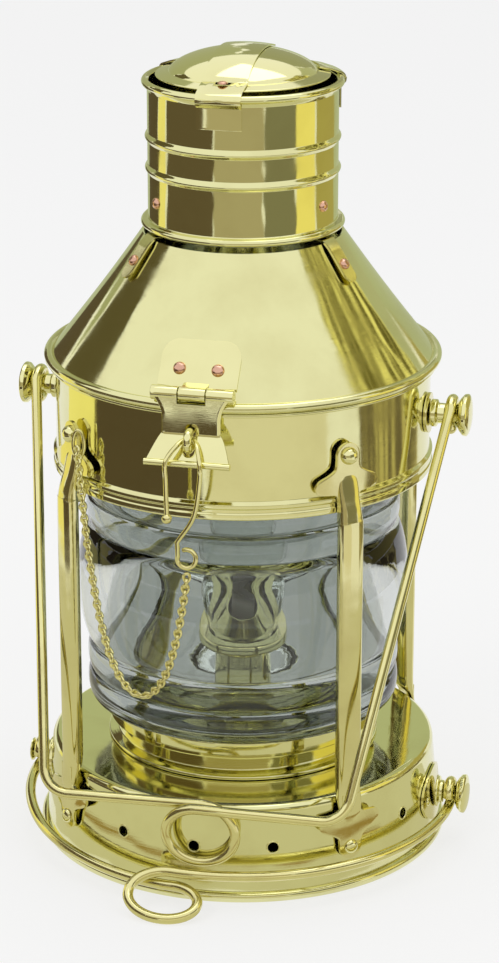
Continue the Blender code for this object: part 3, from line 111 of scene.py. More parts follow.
RIM_ROLL_R = 0.0024
RIM_CENTRE_R = DRUM_R + 0.0027
RIM_Z = DRUM_TOP_Z + RIM_ROLL_R + GAP
HOOD_EDGE_R = RIM_CENTRE_R - 0.0017
CHIMNEY_R = 0.0443
HOOD_TOP_R = CHIMNEY_R + 0.0027
HOOD_TOP_Z = RIM_Z + 0.0594
FLANGE_Z = HOOD_TOP_Z + 0.0044
CHIMNEY_LIP_Z = FLANGE_Z + 0.0657
CHIMNEY_ROLL_R = 0.0018
CHIMNEY_LIP_R = CHIMNEY_R + 0.0026
CONE_RUN = HOOD_EDGE_R - HOOD_TOP_R
CONE_LOW_Z = RIM_Z + RIM_ROLL_R * 0.7
CONE_DROP = HOOD_TOP_Z - CONE_LOW_Z
CONE_LEN = math.hypot(CONE_RUN, CONE_DROP)
CONE_ANGLE = math.degrees(math.atan2(CONE_DROP, CONE_RUN))
FONT_NECK_Z = BASE_H + 0.0045 + 0.0120
BURNER_TUBE_R = 0.0130
BURNER_GALLERY_Z = FONT_NECK_Z + 0.0350


class Slot(Enum):
    """The record's finishes that a piece may take."""

    BRASS = "brass"
    COPPER = "copper"
    GLASS = "glass"
    WICK = "wick"


class Body(Enum):
    """The moving bodies of the lamp."""

    ROOT = "root"
    HOOD = "hood"
    HASP = "hasp"
    MAIN_BAIL = "main_bail"
    LOWER_BAIL = "lower_bail"
    WICK_WHEEL = "wick_wheel"
    WICK = "wick"


class Side(Enum):
    """The two sides of the lamp, seen from the hasp."""

    RIGHT = 1
    LEFT = -1


# Places


def polar(radius: float, azimuth: float, z: float) -> Vector:
    """Gives a point by its place round the lamp's axis.

    Args:
        radius: Distance from the axis.
        azimuth: Degrees from the hasp's side towards +X.
        z: Height.

    Returns:
        The point.
    """
    turn = math.radians(azimuth)
    return Vector((radius * math.sin(turn), -radius * math.cos(turn), z))


def facing(azimuth: float) -> Matrix:
    """Turns what was built on the -Y side to an azimuth."""
    return Matrix.Rotation(math.radians(azimuth), 4, "Z")


def front_frame(radius: float, z: float) -> Matrix:
    """Stands a flat piece up against the -Y side, its thickness along the radius."""
    return Matrix.Translation((0, -radius, z)) @ Matrix.Rotation(math.radians(90), 4, "X")


def on_axis(x: float, y: float, z: float) -> Matrix:
    """Lays a piece spun about Z along +X at a place."""
    return Matrix.Translation((x, y, z)) @ Matrix.Rotation(math.radians(90), 4, "Y")


def cone_z(radius: float) -> float:
    """Gives the height of the hood's outer surface at a radius."""
    return HOOD_TOP_Z - (radius - HOOD_TOP_R) * CONE_DROP / CONE_RUN


def cone_point(radius: float, lift: float) -> tuple[float, float]:
    """Gives (r, z) above the hood's surface, measured square to it."""
    return radius + lift * CONE_DROP / CONE_LEN, cone_z(radius) + lift * CONE_RUN / CONE_LEN


def cone_place(radius: float, lift: float, azimuth: float) -> Matrix:
    """Gives a frame on the hood's outside, its Z square to the surface.

    Args:
        radius: Radius of the place on the hood.
        lift: Height above the surface.
        azimuth: Degrees round the axis.

    Returns:
        The frame.
    """
    r, z = cone_point(radius, lift)
    lean = Matrix.Rotation(math.radians(CONE_ANGLE), 4, "X")
    return facing(azimuth) @ Matrix.Translation((0, -r, z)) @ lean


def skirt_r(z: float) -> float:
    """Gives the outer radius of the base's skirt at a height."""
    low = 2 * FOOT_BEAD_R
    share = (z - low) / (BASE_H - BASE_EDGE_R - low)
    return SKIRT_FOOT_R + (SKIRT_TOP_R - SKIRT_FOOT_R) * share


# Outlines


def arc(centre: tuple[float, float], radius: float, start: float, end: float, steps: int = 10) -> Profile:
    """Gives points on an arc, both ends included.

    Args:
        centre: Its centre.
        radius: Its radius.
        start: First angle in degrees.
        end: Last angle in degrees.
        steps: Number of parts.

    Returns:
        The points.
    """
    points = []
    for index in range(steps + 1):
        angle = math.radians(start + (end - start) * index / steps)
        points.append((centre[0] + radius * math.cos(angle), centre[1] + radius * math.sin(angle)))
    return points


def softened(outline: Outline, radius: float, closed: bool = True, steps: int = 5) -> Profile:
    """Rounds the corners of an outline, as spinning and polishing leave them.

    Args:
        outline: Points (r, z).
        radius: The rounding wanted, less where the edges beside a corner are short.
        closed: Whether the outline closes on itself.
        steps: Parts of each rounding.

    Returns:
        The new outline.
    """
    count = len(outline)
    result: Profile = []
    for index, point in enumerate(outline):
        corner = Vector(point)
        back = Vector(outline[index - 1]) - corner
        ahead = Vector(outline[(index + 1) % count]) - corner
        at_end = not closed and index in (0, count - 1)
        if at_end or back.length < 1e-7 or ahead.length < 1e-7:
            result.append(point)
            continue
        between = back.angle(ahead)
        if between > math.radians(166) or between < math.radians(4):
            result.append(point)
            continue
        reach = min(radius / math.tan(between / 2), 0.42 * back.length, 0.42 * ahead.length)
        start = corner + back.normalized() * reach
        end = corner + ahead.normalized() * reach
        for step in range(steps + 1):
            t = step / steps
            place = start * (1 - t) ** 2 + corner * 2 * t * (1 - t) + end * t ** 2
            result.append((place.x, place.y))
    return result


def smooth_route(points: Sequence[Vector], steps: int = 6) -> list[Vector]:
    """Draws a Catmull-Rom curve through a route's points.

    Args:
        points: The points it passes.
        steps: Parts between two of them.

    Returns:
        The denser route.
    """
    padded = [2 * points[0] - points[1]] + list(points) + [2 * points[-1] - points[-2]]
    curve = []
    for index in range(1, len(padded) - 2):
        before, start, end, after = padded[index - 1:index + 3]
        for step in range(steps):
            t = step / steps
            curve.append(0.5 * (2 * start + (end - before) * t
                                + (2 * before - 5 * start + 4 * end - after) * t ** 2
                                + (3 * start - before - 3 * end + after) * t ** 3))
    curve.append(points[-1].copy())
    return curve


def fillet(before: Vector, corner: Vector, after: Vector, radius: float, steps: int = 14) -> list[Vector]:
    """Gives the arc that rounds a corner between two straight runs.

    Args:
        before: A point of the first run.
        corner: Where the runs would meet.
        after: A point of the second run.
        radius: Radius of the arc.
        steps: Its parts.

    Returns:
        The arc's points.
    """
    back = (before - corner).normalized()
    ahead = (after - corner).normalized()
    half = back.angle(ahead) / 2
    reach = radius / math.tan(half)
    centre = corner + (back + ahead).normalized() * (radius / math.sin(half))
    start = corner + back * reach - centre
    end = corner + ahead * reach - centre
    normal = start.cross(end).normalized()
    sweep = start.angle(end)
    return [centre + Matrix.Rotation(sweep * index / steps, 3, normal) @ start for index in range(steps + 1)]


# Meshes


def mesh_piece(name: str, bm: bmesh.types.BMesh, sharp: float = 38.0, closed: bool = True) -> Piece:
    """Turns a bmesh into a smooth shaded object at the origin.

    Args:
        name: The piece's name.
        bm: The mesh, which is freed.
        sharp: Edges over this angle stay sharp, in degrees.
        closed: Whether it is a shell whose faces are turned outwards.

    Returns:
        The object.
    """
    bmesh.ops.remove_doubles(bm, verts=bm.verts, dist=GAP / 200)
    bmesh.ops.dissolve_degenerate(bm, edges=bm.edges, dist=GAP / 400)
    if closed:
        bmesh.ops.recalc_face_normals(bm, faces=bm.faces)
    mesh = bpy.data.meshes.new(name)
    bm.to_mesh(mesh)
    bm.free()
    mesh.shade_smooth()
    mesh.set_sharp_from_angle(angle=math.radians(sharp))
    piece = bpy.data.objects.new(name, mesh)
    bpy.context.scene.collection.objects.link(piece)
    return piece


def baked(piece: Piece, sharp: float = 38.0) -> Piece:
    """Makes a piece's modifiers or curve into its own mesh.

    Args:
        piece: The piece, which is removed.
        sharp: Edges over this angle stay sharp, in degrees.

    Returns:
        The new object of the same name.
    """
    graph = bpy.context.evaluated_depsgraph_get()
    mesh = bpy.data.meshes.new_from_object(piece.evaluated_get(graph))
    bm = bmesh.new()
    bm.from_mesh(mesh)
    bpy.data.meshes.remove(mesh)
    name = piece.name
    bpy.data.objects.remove(piece)
    return mesh_piece(name, bm, sharp)


def moved(piece: Piece, place: Matrix) -> Piece:
    """Moves a piece's mesh, so that its object stays at the origin."""
    piece.data.transform(place)
    return piece


def joined(name: str, pieces: Sequence[Piece], sharp: float = 38.0) -> Piece:
    """Puts several meshes into one piece.

    Args:
        name: Name of the result.
        pieces: Its parts, which are removed.
        sharp: Edges over this angle stay sharp, in degrees.

    Returns:
        The piece.
    """
    bm = bmesh.new()
    for piece in pieces:
        bm.from_mesh(piece.data)
        bpy.data.objects.remove(piece)
    return mesh_piece(name, bm, sharp)


def spun(name: str, outline: Outline, steps: int = 192, closed: bool = True) -> Piece:
    """Spins an outline (r, z) round the lamp's axis.

    Args:
        name: The piece's name.
        outline: Its outline.
        steps: Parts of the turn.
        closed: Whether the outline closes on itself. An open one starts and ends on the axis.

    Returns:
        The piece.
    """
    bm = bmesh.new()
    verts = [bm.verts.new((r, 0, z)) for r, z in outline]
    edges = [bm.edges.new(pair) for pair in zip(verts, verts[1:])]
    if closed:
        edges.append(bm.edges.new((verts[-1], verts[0])))
    bmesh.ops.spin(bm, geom=verts + edges, cent=(0, 0, 0), axis=(0, 0, 1), angle=math.tau, steps=steps,
                   use_merge=True, use_duplicate=False)
    return mesh_piece(name, bm)


def sheet(name: str, rows: int, columns: int, thickness: float, place: Callable[[float, float], Vector],
          edge: float = 0.35) -> Piece:
    """Bends a flat grid into a metal sheet with rounded edges.

    Args:
        name: The piece's name.
        rows: Parts along it.
        columns: Parts across it.
        thickness: Of the metal.
        place: Gives a point from u, -1 to 1 across, and v, 0 to 1 along.
        edge: The edges' rounding, as a share of the thickness.

    Returns:
        The piece.
    """
    bm = bmesh.new()
    bmesh.ops.create_grid(bm, x_segments=columns, y_segments=rows, size=0.5)
    for vert in bm.verts:
        vert.co = place(vert.co.x * 2, 0.5 - vert.co.y)
    piece = mesh_piece(name, bm, closed=False)
    solidify = piece.modifiers.new("Thickness", "SOLIDIFY")
    solidify.thickness = thickness
    solidify.offset = 0
    bevel = piece.modifiers.new("Edges", "BEVEL")
    bevel.limit_method = "ANGLE"
    bevel.angle_limit = math.radians(50)
    bevel.width = thickness * edge
    bevel.segments = 3
    return baked(piece)


def ribbon(name: str, route: Outline, thickness: float, half_w: Callable[[float], float],
           azimuth: float = 0.0, columns: int = 6) -> Piece:
    """Bends a strip along a side route (r, z) on the -Y side, and turns it to its azimuth.

    Args:
        name: The piece's name.
        route: Points of its middle.
        thickness: Of the metal.
        half_w: Half its width, from a share of 0 at its start to 1 at its end.
        azimuth: Degrees round the axis.
        columns: Parts across it.

    Returns:
        The piece.
    """
    rows = len(route) - 1

    def place(u: float, v: float) -> Vector:
        """Gives a point of the strip."""
        r, z = route[min(rows, round(v * rows))]
        return Vector((u * half_w(v), -r, z))

    return moved(sheet(name, rows, columns, thickness, place), facing(azimuth))


def wire(name: str, points: Sequence[Vector], radius: float, around: int = 6) -> Piece:
    """Sweeps a round wire along points, its cut ends slightly rounded.

    Args:
        name: The piece's name.
        points: Its middle.
        radius: Its radius.
        around: The curve's bevel resolution.

    Returns:
        The piece.
    """
    first = points[0] + (points[0] - points[1]).normalized() * radius * 0.25
    last = points[-1] + (points[-1] - points[-2]).normalized() * radius * 0.25
    curve = bpy.data.curves.new(name, "CURVE")
    curve.dimensions = "3D"
    curve.bevel_depth = radius
    curve.bevel_resolution = around
    curve.use_fill_caps = True
    spline = curve.splines.new("POLY")
    spline.points.add(len(points) + 1)
    for point, place in zip(spline.points, [first] + list(points) + [last]):
        point.co = (*place, 1)
    spline.points[0].radius = 0.72
    spline.points[-1].radius = 0.72
    piece = bpy.data.objects.new(name, curve)
    bpy.context.scene.collection.objects.link(piece)
    return baked(piece, 60)


def lofted(name: str, rings: Sequence[Matrix], segments: int = 32) -> Piece:
    """Skins a round section through a row of frames.

    Args:
        name: The piece's name.
        rings: Frames that scale and place a circle of radius 1 in X and Y.
        segments: Parts of the circle.

    Returns:
        The piece, closed at both ends.
    """
    bm = bmesh.new()
    bmesh.ops.create_circle(bm, cap_ends=True, radius=1, segments=segments)
    for vert in bm.verts:
        vert.co.x = math.copysign(abs(vert.co.x) ** 0.72, vert.co.x)
        vert.co.y = math.copysign(abs(vert.co.y) ** 0.72, vert.co.y)
    bm.transform(rings[0])
    edges = list(bm.edges)
    for before, after in zip(rings, rings[1:]):
        grown = bmesh.ops.extrude_edge_only(bm, edges=edges)["geom"]
        verts = [item for item in grown if isinstance(item, bmesh.types.BMVert)]
        edges = [item for item in grown if isinstance(item, bmesh.types.BMEdge)]
        edges = [edge for edge in edges if edge.is_boundary]
        bmesh.ops.transform(bm, matrix=after @ before.inverted(), verts=verts)
    bmesh.ops.holes_fill(bm, edges=edges)
    return mesh_piece(name, bm)


def cut(piece: Piece, tools: Sequence[Piece], sharp: float = 38.0) -> Piece:
    """Cuts tools out of a piece.

    Args:
        piece: The piece.
        tools: What is cut away, which are removed.
        sharp: Edges over this angle stay sharp, in degrees.

    Returns:
        The piece that is left.
    """
    tool = joined("cutter", tools)
    boolean = piece.modifiers.new("Cut", "BOOLEAN")
    boolean.operation = "DIFFERENCE"
    boolean.solver = "EXACT"
    boolean.object = tool
    result = baked(piece, sharp)
    bpy.data.objects.remove(tool)
    return result


def box(size: Sequence[float], place: Matrix) -> bmesh.types.BMesh:
    """Makes the mesh of a box.

    Args:
        size: Its size.
        place: Frame of its middle.

    Returns:
        The mesh.
    """
    bm = bmesh.new()
    bmesh.ops.create_cube(bm, size=1)
    bm.transform(place @ Matrix.Diagonal((*size, 1)))
    return bm


def tube_x(name: str, radius: float, bore: float, low_x: float, high_x: float, y: float, z: float) -> Piece:
    """Makes a round tube, or a rod where the bore is 0, that lies along X.

    Args:
        name: The piece's name.
        radius: Its outer radius.
        bore: Its inner radius.
        low_x: Its left end.
        high_x: Its right end.
        y: Place of its axis.
        z: Place of its axis.

    Returns:
        The piece.
    """
    outline = [(bore, low_x), (bore, high_x), (radius, high_x), (radius, low_x)]
    piece = spun(name, softened(outline, radius * 0.10, closed=bore > 0, steps=4), 40, closed=bore > 0)
    return moved(piece, on_axis(0, y, z))


def rivet(name: str, radius: float, height: float, place: Matrix) -> Piece:
    """Makes a domed rivet head that stands on a plane.

    Args:
        name: The piece's name.
        radius: Of the head.
        height: Of the dome.
        place: Frame of its seat, Z outwards.

    Returns:
        The piece.
    """
    dome: Profile = [(0, height)]
    for index in range(1, 9):
        angle = math.radians(90 - 84 * index / 8)
        dome.append((radius * math.cos(angle) ** 0.86, height * math.sin(angle)))
    dome += [(radius, height * 0.04), (radius * 0.97, 0), (0, 0)]
    return moved(spun(name, dome, 32, closed=False), place)


def install(piece: Piece, material: Material, *nodes: str, body: Body = Body.ROOT,
            slot: Slot = Slot.BRASS) -> Piece:
    """Dresses a piece, puts it on its body and hides what it stands for.

    Args:
        piece: The piece.
        material: The finish made here.
        nodes: CAD nodes that it replaces.
        body: The body it rides on.
        slot: The record's finish; not used.

    Returns:
        The piece.
    """
    piece.data.materials.clear()
    piece.data.materials.append(material)
    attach(piece, body.value)
    if nodes:
        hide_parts(*nodes)
    LOG.info("%s rides on %s and stands for %s", piece.name, body.value, ", ".join(nodes) or "no node")
    return piece


# Finishes


def new_socket(group: Tree, name: str, kind: str, inside: bool, value: object = None) -> None:
    """Adds a named socket to a node group.

    Args:
        group: The group.
        name: The socket's name.
        kind: Its type, such as NodeSocketFloat.
        inside: Whether it is an input.
        value: Its default.
    """
    socket = group.interface.new_socket(name=name, in_out="INPUT" if inside else "OUTPUT", socket_type=kind)
    if value is not None:
        socket.default_value = value


def math_node(tree: Tree, operation: str, first: object, second: object = 0.0,
              clamp: bool = False) -> Socket:
    """Adds a Math node.

    Args:
        tree: The tree.
        operation: What it works out.
        first: A socket or a number.
        second: A socket or a number.
        clamp: Whether the result is kept from 0 to 1.

    Returns:
        Its result.
    """
    node = tree.nodes.new("ShaderNodeMath")
    node.operation = operation
    node.use_clamp = clamp
    for socket, value in zip(node.inputs, (first, second)):
        if isinstance(value, Socket):
            tree.links.new(value, socket)
        else:
            socket.default_value = value
    return node.outputs[0]


def noise_node(tree: Tree, vector: Socket, scale: float, detail: float) -> Socket:
    """Adds a Noise Texture node.

    Args:
        tree: The tree.
        vector: Its coordinates.
        scale: Its scale.
        detail: Its detail.

    Returns:
        Its value.
    """
    node = tree.nodes.new("ShaderNodeTexNoise")
    node.inputs["Scale"].default_value = scale
    node.inputs["Detail"].default_value = detail
    tree.links.new(vector, node.inputs["Vector"])
    return node.outputs[0]


def mix_node(tree: Tree, factor: Socket, first: object, second: object) -> Socket:
    """Adds a Mix node for colours.

    Args:
        tree: The tree.
        factor: Share of the second colour.
        first: A socket or a colour.
        second: A socket or a colour.

    Returns:
        Its result.
    """
    mix = tree.nodes.new("ShaderNodeMix")
    mix.data_type = "RGBA"
    tree.links.new(factor, mix.inputs["Factor"])
    for name, value in (("A", first), ("B", second)):
        if isinstance(value, Socket):
            tree.links.new(value, mix.inputs[name])
        else:
            mix.inputs[name].default_value = (*value, 1)
    return mix.outputs["Result"]


def new_material(name: str) -> tuple[Material, Tree, bpy.types.Node]:
    """Starts a material.

    Args:
        name: Its name.

    Returns:
        The material, its tree and its shader.
    """
    material = bpy.data.materials.new(name)
    material.use_nodes = True
    tree = material.node_tree
    return material, tree, tree.nodes["Principled BSDF"]


def add_bump(tree: Tree, height: Socket, distance: float) -> None:
    """Bumps the surface of a tree's shader.

    Args:
        tree: The tree.
        height: The height.
        distance: Metres for a height of 1.
    """
    bump = tree.nodes.new("ShaderNodeBump")
    bump.inputs["Strength"].default_value = 1.0
    bump.inputs["Distance"].default_value = distance
    tree.links.new(height, bump.inputs["Height"])
    tree.links.new(bump.outputs["Normal"], tree.nodes["Principled BSDF"].inputs["Normal"])


def object_place(tree: Tree) -> tuple[Socket, bpy.types.Node]:
    """Adds the object coordinates.

    Args:
        tree: The tree.

    Returns:
        The coordinates, and the node that splits them in three.
    """
    coords = tree.nodes.new("ShaderNodeTexCoord").outputs["Object"]
    split = tree.nodes.new("ShaderNodeSeparateXYZ")
    tree.links.new(coords, split.inputs[0])
    return coords, split


def seen_rays(tree: Tree) -> Socket:
    """Tells apart what is seen from what only lights.

    Args:
        tree: The tree.

    Returns:
        1 for rays from the camera, off metal and through glass, else 0.
    """
    path = tree.nodes.new("ShaderNodeLightPath")
    seen = math_node(tree, "ADD", path.outputs["Is Camera Ray"], path.outputs["Is Glossy Ray"])
    return math_node(tree, "ADD", seen, path.outputs["Is Transmission Ray"], clamp=True)


def worked_metal_group() -> Tree:
    """Builds the group of lathe lines, waves, tarnish and fine wear that every metal here uses.

    Returns:
        The group.
    """
    group = bpy.data.node_groups.new("worked_metal", "ShaderNodeTree")
    new_socket(group, "Metal Colour", "NodeSocketColor", True, (0.8, 0.7, 0.4, 1))
    new_socket(group, "Tarnish Colour", "NodeSocketColor", True, (0.3, 0.2, 0.1, 1))
    for name, value in (("Smoothness", 0.1), ("Lathe Lines", 0.3), ("Waves", 0.3), ("Tarnish", 0.3)):
        new_socket(group, name, "NodeSocketFloat", True, value)
    for name, kind in (("Colour", "Color"), ("Roughness", "Float"), ("Height", "Float")):
        new_socket(group, name, "NodeSocket" + kind, False)
    tree = group
    links = tree.links
    start = tree.nodes.new("NodeGroupInput")
    end = tree.nodes.new("NodeGroupOutput")
    coords, split = object_place(tree)
    x_squared = math_node(tree, "POWER", split.outputs["X"], 2)
    y_squared = math_node(tree, "POWER", split.outputs["Y"], 2)
    radius = math_node(tree, "SQRT", math_node(tree, "ADD", x_squared, y_squared))
    ring_place = tree.nodes.new("ShaderNodeCombineXYZ")
    links.new(radius, ring_place.inputs["X"])
    links.new(split.outputs["Z"], ring_place.inputs["Z"])
    lines = noise_node(tree, ring_place.outputs[0], 2600, 3)
    bands = noise_node(tree, ring_place.outputs[0], 240, 2)
    clouds = noise_node(tree, coords, 34, 4)
    flecks = noise_node(tree, coords, 700, 2)
    waves = noise_node(tree, coords, 62, 1)

    spots = math_node(tree, "MULTIPLY", math_node(tree, "SUBTRACT", clouds, 0.46), 3.2, clamp=True)
    tarnish = math_node(tree, "MULTIPLY", spots, start.outputs["Tarnish"])
    metal = mix_node(tree, tarnish, start.outputs["Metal Colour"], start.outputs["Tarnish Colour"])
    links.new(metal, end.inputs["Colour"])

    dull = math_node(tree, "MULTIPLY", math_node(tree, "SUBTRACT", bands, 0.5), 0.10)
    speck = math_node(tree, "MULTIPLY", math_node(tree, "SUBTRACT", flecks, 0.5), 0.06)
    grain = math_node(tree, "ADD", dull, speck)
    worn = math_node(tree, "ADD", math_node(tree, "MULTIPLY", tarnish, 0.5), grain)
    rough = math_node(tree, "ADD", start.outputs["Smoothness"], worn)
    links.new(math_node(tree, "MAXIMUM", rough, 0.03), end.inputs["Roughness"])

    fine = math_node(tree, "MULTIPLY", math_node(tree, "ADD", lines, bands), start.outputs["Lathe Lines"])
    broad = math_node(tree, "MULTIPLY", waves, start.outputs["Waves"])
    links.new(math_node(tree, "ADD", fine, broad), end.inputs["Height"])
    return group


@dataclass(frozen=True)
class MetalFinish:
    """A polished metal with its lathe lines, its waves and its tarnish."""

    name: str
    colour: Colour
    tarnish_colour: Colour
    smoothness: float
    lathe_lines: float
    waves: float
    tarnish: float
    bump: float

    def material(self, group: Tree) -> Material:
        """Builds the material.

        Args:
            group: The worked metal group.

        Returns:
            The material.
        """
        material, tree, shader = new_material(self.name)
        shader.inputs["Metallic"].default_value = 1.0
        wear = tree.nodes.new("ShaderNodeGroup")
        wear.node_tree = group
        wear.inputs["Metal Colour"].default_value = (*self.colour, 1)
        wear.inputs["Tarnish Colour"].default_value = (*self.tarnish_colour, 1)
        wear.inputs["Smoothness"].default_value = self.smoothness
        wear.inputs["Lathe Lines"].default_value = self.lathe_lines
        wear.inputs["Waves"].default_value = self.waves
        wear.inputs["Tarnish"].default_value = self.tarnish
        tree.links.new(wear.outputs["Colour"], shader.inputs["Base Color"])
        tree.links.new(wear.outputs["Roughness"], shader.inputs["Roughness"])
        add_bump(tree, wear.outputs["Height"], self.bump)
        return material


@dataclass(frozen=True)
class GlassFinish:
    """Pressed or blown glass with faint waves, and with painted shade: a darker tint above and below a clear
    band, which darkens the lens's rib bands.
    """

    name: str
    colour: Colour
    shade_and_wave_colour: Colour
    roughness: float
    ior: float
    wave_scale: float
    bump: float
    clear_z: float
    clear_half: float

    def material(self) -> Material:
        """Builds the material.

        Returns:
            The material.
        """
        material, tree, shader = new_material(self.name)
        shader.inputs["Metallic"].default_value = 0.0
        shader.inputs["Transmission Weight"].default_value = 1.0
        shader.inputs["IOR"].default_value = self.ior
        shader.inputs["Specular IOR Level"].default_value = 0.35
        shader.inputs["Roughness"].default_value = self.roughness
        coords, split = object_place(tree)
        waves = noise_node(tree, coords, self.wave_scale, 2)
        streaks = noise_node(tree, coords, self.wave_scale * 3, 3)
        # Painted shade: outside the clear band round clear_z the tint turns to the darker colour, so the
        # lens's rib bands look darker; the waves add random tone
        away = math_node(tree, "ABSOLUTE", math_node(tree, "SUBTRACT", split.outputs["Z"], self.clear_z))
        past = math_node(tree, "SUBTRACT", away, self.clear_half)
        rib_shade = math_node(tree, "MULTIPLY", past, 260, clamp=True)
        depth = math_node(tree, "MAXIMUM", rib_shade, math_node(tree, "MULTIPLY", waves, 0.45))
        tint = mix_node(tree, depth, self.colour, self.shade_and_wave_colour)
        tree.links.new(tint, shader.inputs["Base Color"])
        add_bump(tree, math_node(tree, "ADD", waves, math_node(tree, "MULTIPLY", streaks, 0.3)), self.bump)
        return material


@dataclass(frozen=True)
class CottonFinish:
    """Woven cotton of the wick, charred at its top."""

    name: str
    colour: Colour
    char_colour: Colour
    thread: float
    char_z: float

    def material(self) -> Material:
        """Builds the material.

        Returns:
            The material.
        """
        material, tree, shader = new_material(self.name)
        shader.inputs["Roughness"].default_value = 0.9
        shader.inputs["Sheen Weight"].default_value = 0.3
        _, split = object_place(tree)
        pitch = math.tau / self.thread
        across = math_node(tree, "SINE", math_node(tree, "MULTIPLY", split.outputs["X"], pitch))
        along = math_node(tree, "SINE", math_node(tree, "MULTIPLY", split.outputs["Z"], pitch))
        weave = math_node(tree, "MULTIPLY", across, along)
        above = math_node(tree, "SUBTRACT", split.outputs["Z"], self.char_z)
        char = math_node(tree, "MULTIPLY", above, 400, clamp=True)
        tree.links.new(mix_node(tree, char, self.colour, self.char_colour), shader.inputs["Base Color"])
        add_bump(tree, weave, 0.0002)
        return material


@dataclass
class Finishes:
    """All the materials of the lamp."""

    shell: Material
    bright: Material
    cast: Material
    wire: Material
    copper: Material
    lens: Material
    blown: Material
    cotton: Material


def make_finishes() -> Finishes:
    """Builds every finish once.

    Returns:
        The materials.
    """
    group = worked_metal_group()
    brass = (0.79, 0.77, 0.41)
    pale = (0.84, 0.81, 0.43)
    cast = (0.78, 0.73, 0.37)
    drawn = (0.82, 0.77, 0.38)
    dark = (0.45, 0.37, 0.13)
    return Finishes(
        shell=MetalFinish("brass_spun", brass, dark, 0.055, 0.12, 1.2, 0.22, 0.00009).material(group),
        bright=MetalFinish("brass_bright", pale, dark, 0.06, 0.05, 0.8, 0.15, 0.00007).material(group),
        cast=MetalFinish("brass_cast", cast, dark, 0.09, 0.01, 1.3, 0.30, 0.00016).material(group),
        wire=MetalFinish("brass_wire", drawn, dark, 0.10, 0.01, 0.8, 0.30, 0.00010).material(group),
        copper=MetalFinish("copper_rivet", (0.74, 0.44, 0.32), (0.34, 0.16, 0.10), 0.16, 0.03, 0.8, 0.35,
                           0.00012).material(group),
        # The lens's darker second colour is painted shade for its rib bands
        lens=GlassFinish("lens_glass", (0.76, 0.785, 0.765), (0.40, 0.435, 0.415), 0.015, 1.50, 18, 0.00020,
                         (LENS_LOW_Z + 0.0030 + LENS_TOP_Z) / 2, 0.0290).material(),
        blown=GlassFinish("chimney_glass", (0.90, 0.92, 0.90), (0.82, 0.85, 0.83), 0.01, 1.35, 12, 0.00006,
                          BURNER_GALLERY_Z, 0.1000).material(),
        cotton=CottonFinish("wick_cotton", (0.80, 0.76, 0.66), (0.08, 0.06, 0.05), 0.0009,
                            BURNER_GALLERY_Z + 0.0075).material(),
    )


# Studio


@dataclass(frozen=True)
class Card:
    """A curved card that only the metal's reflections see."""

    name: str
    start: float
    end: float
    low: float
    high: float
    radius: float
    colour: Colour
    streak_colour: Colour | None = None
    on_floor: bool = False


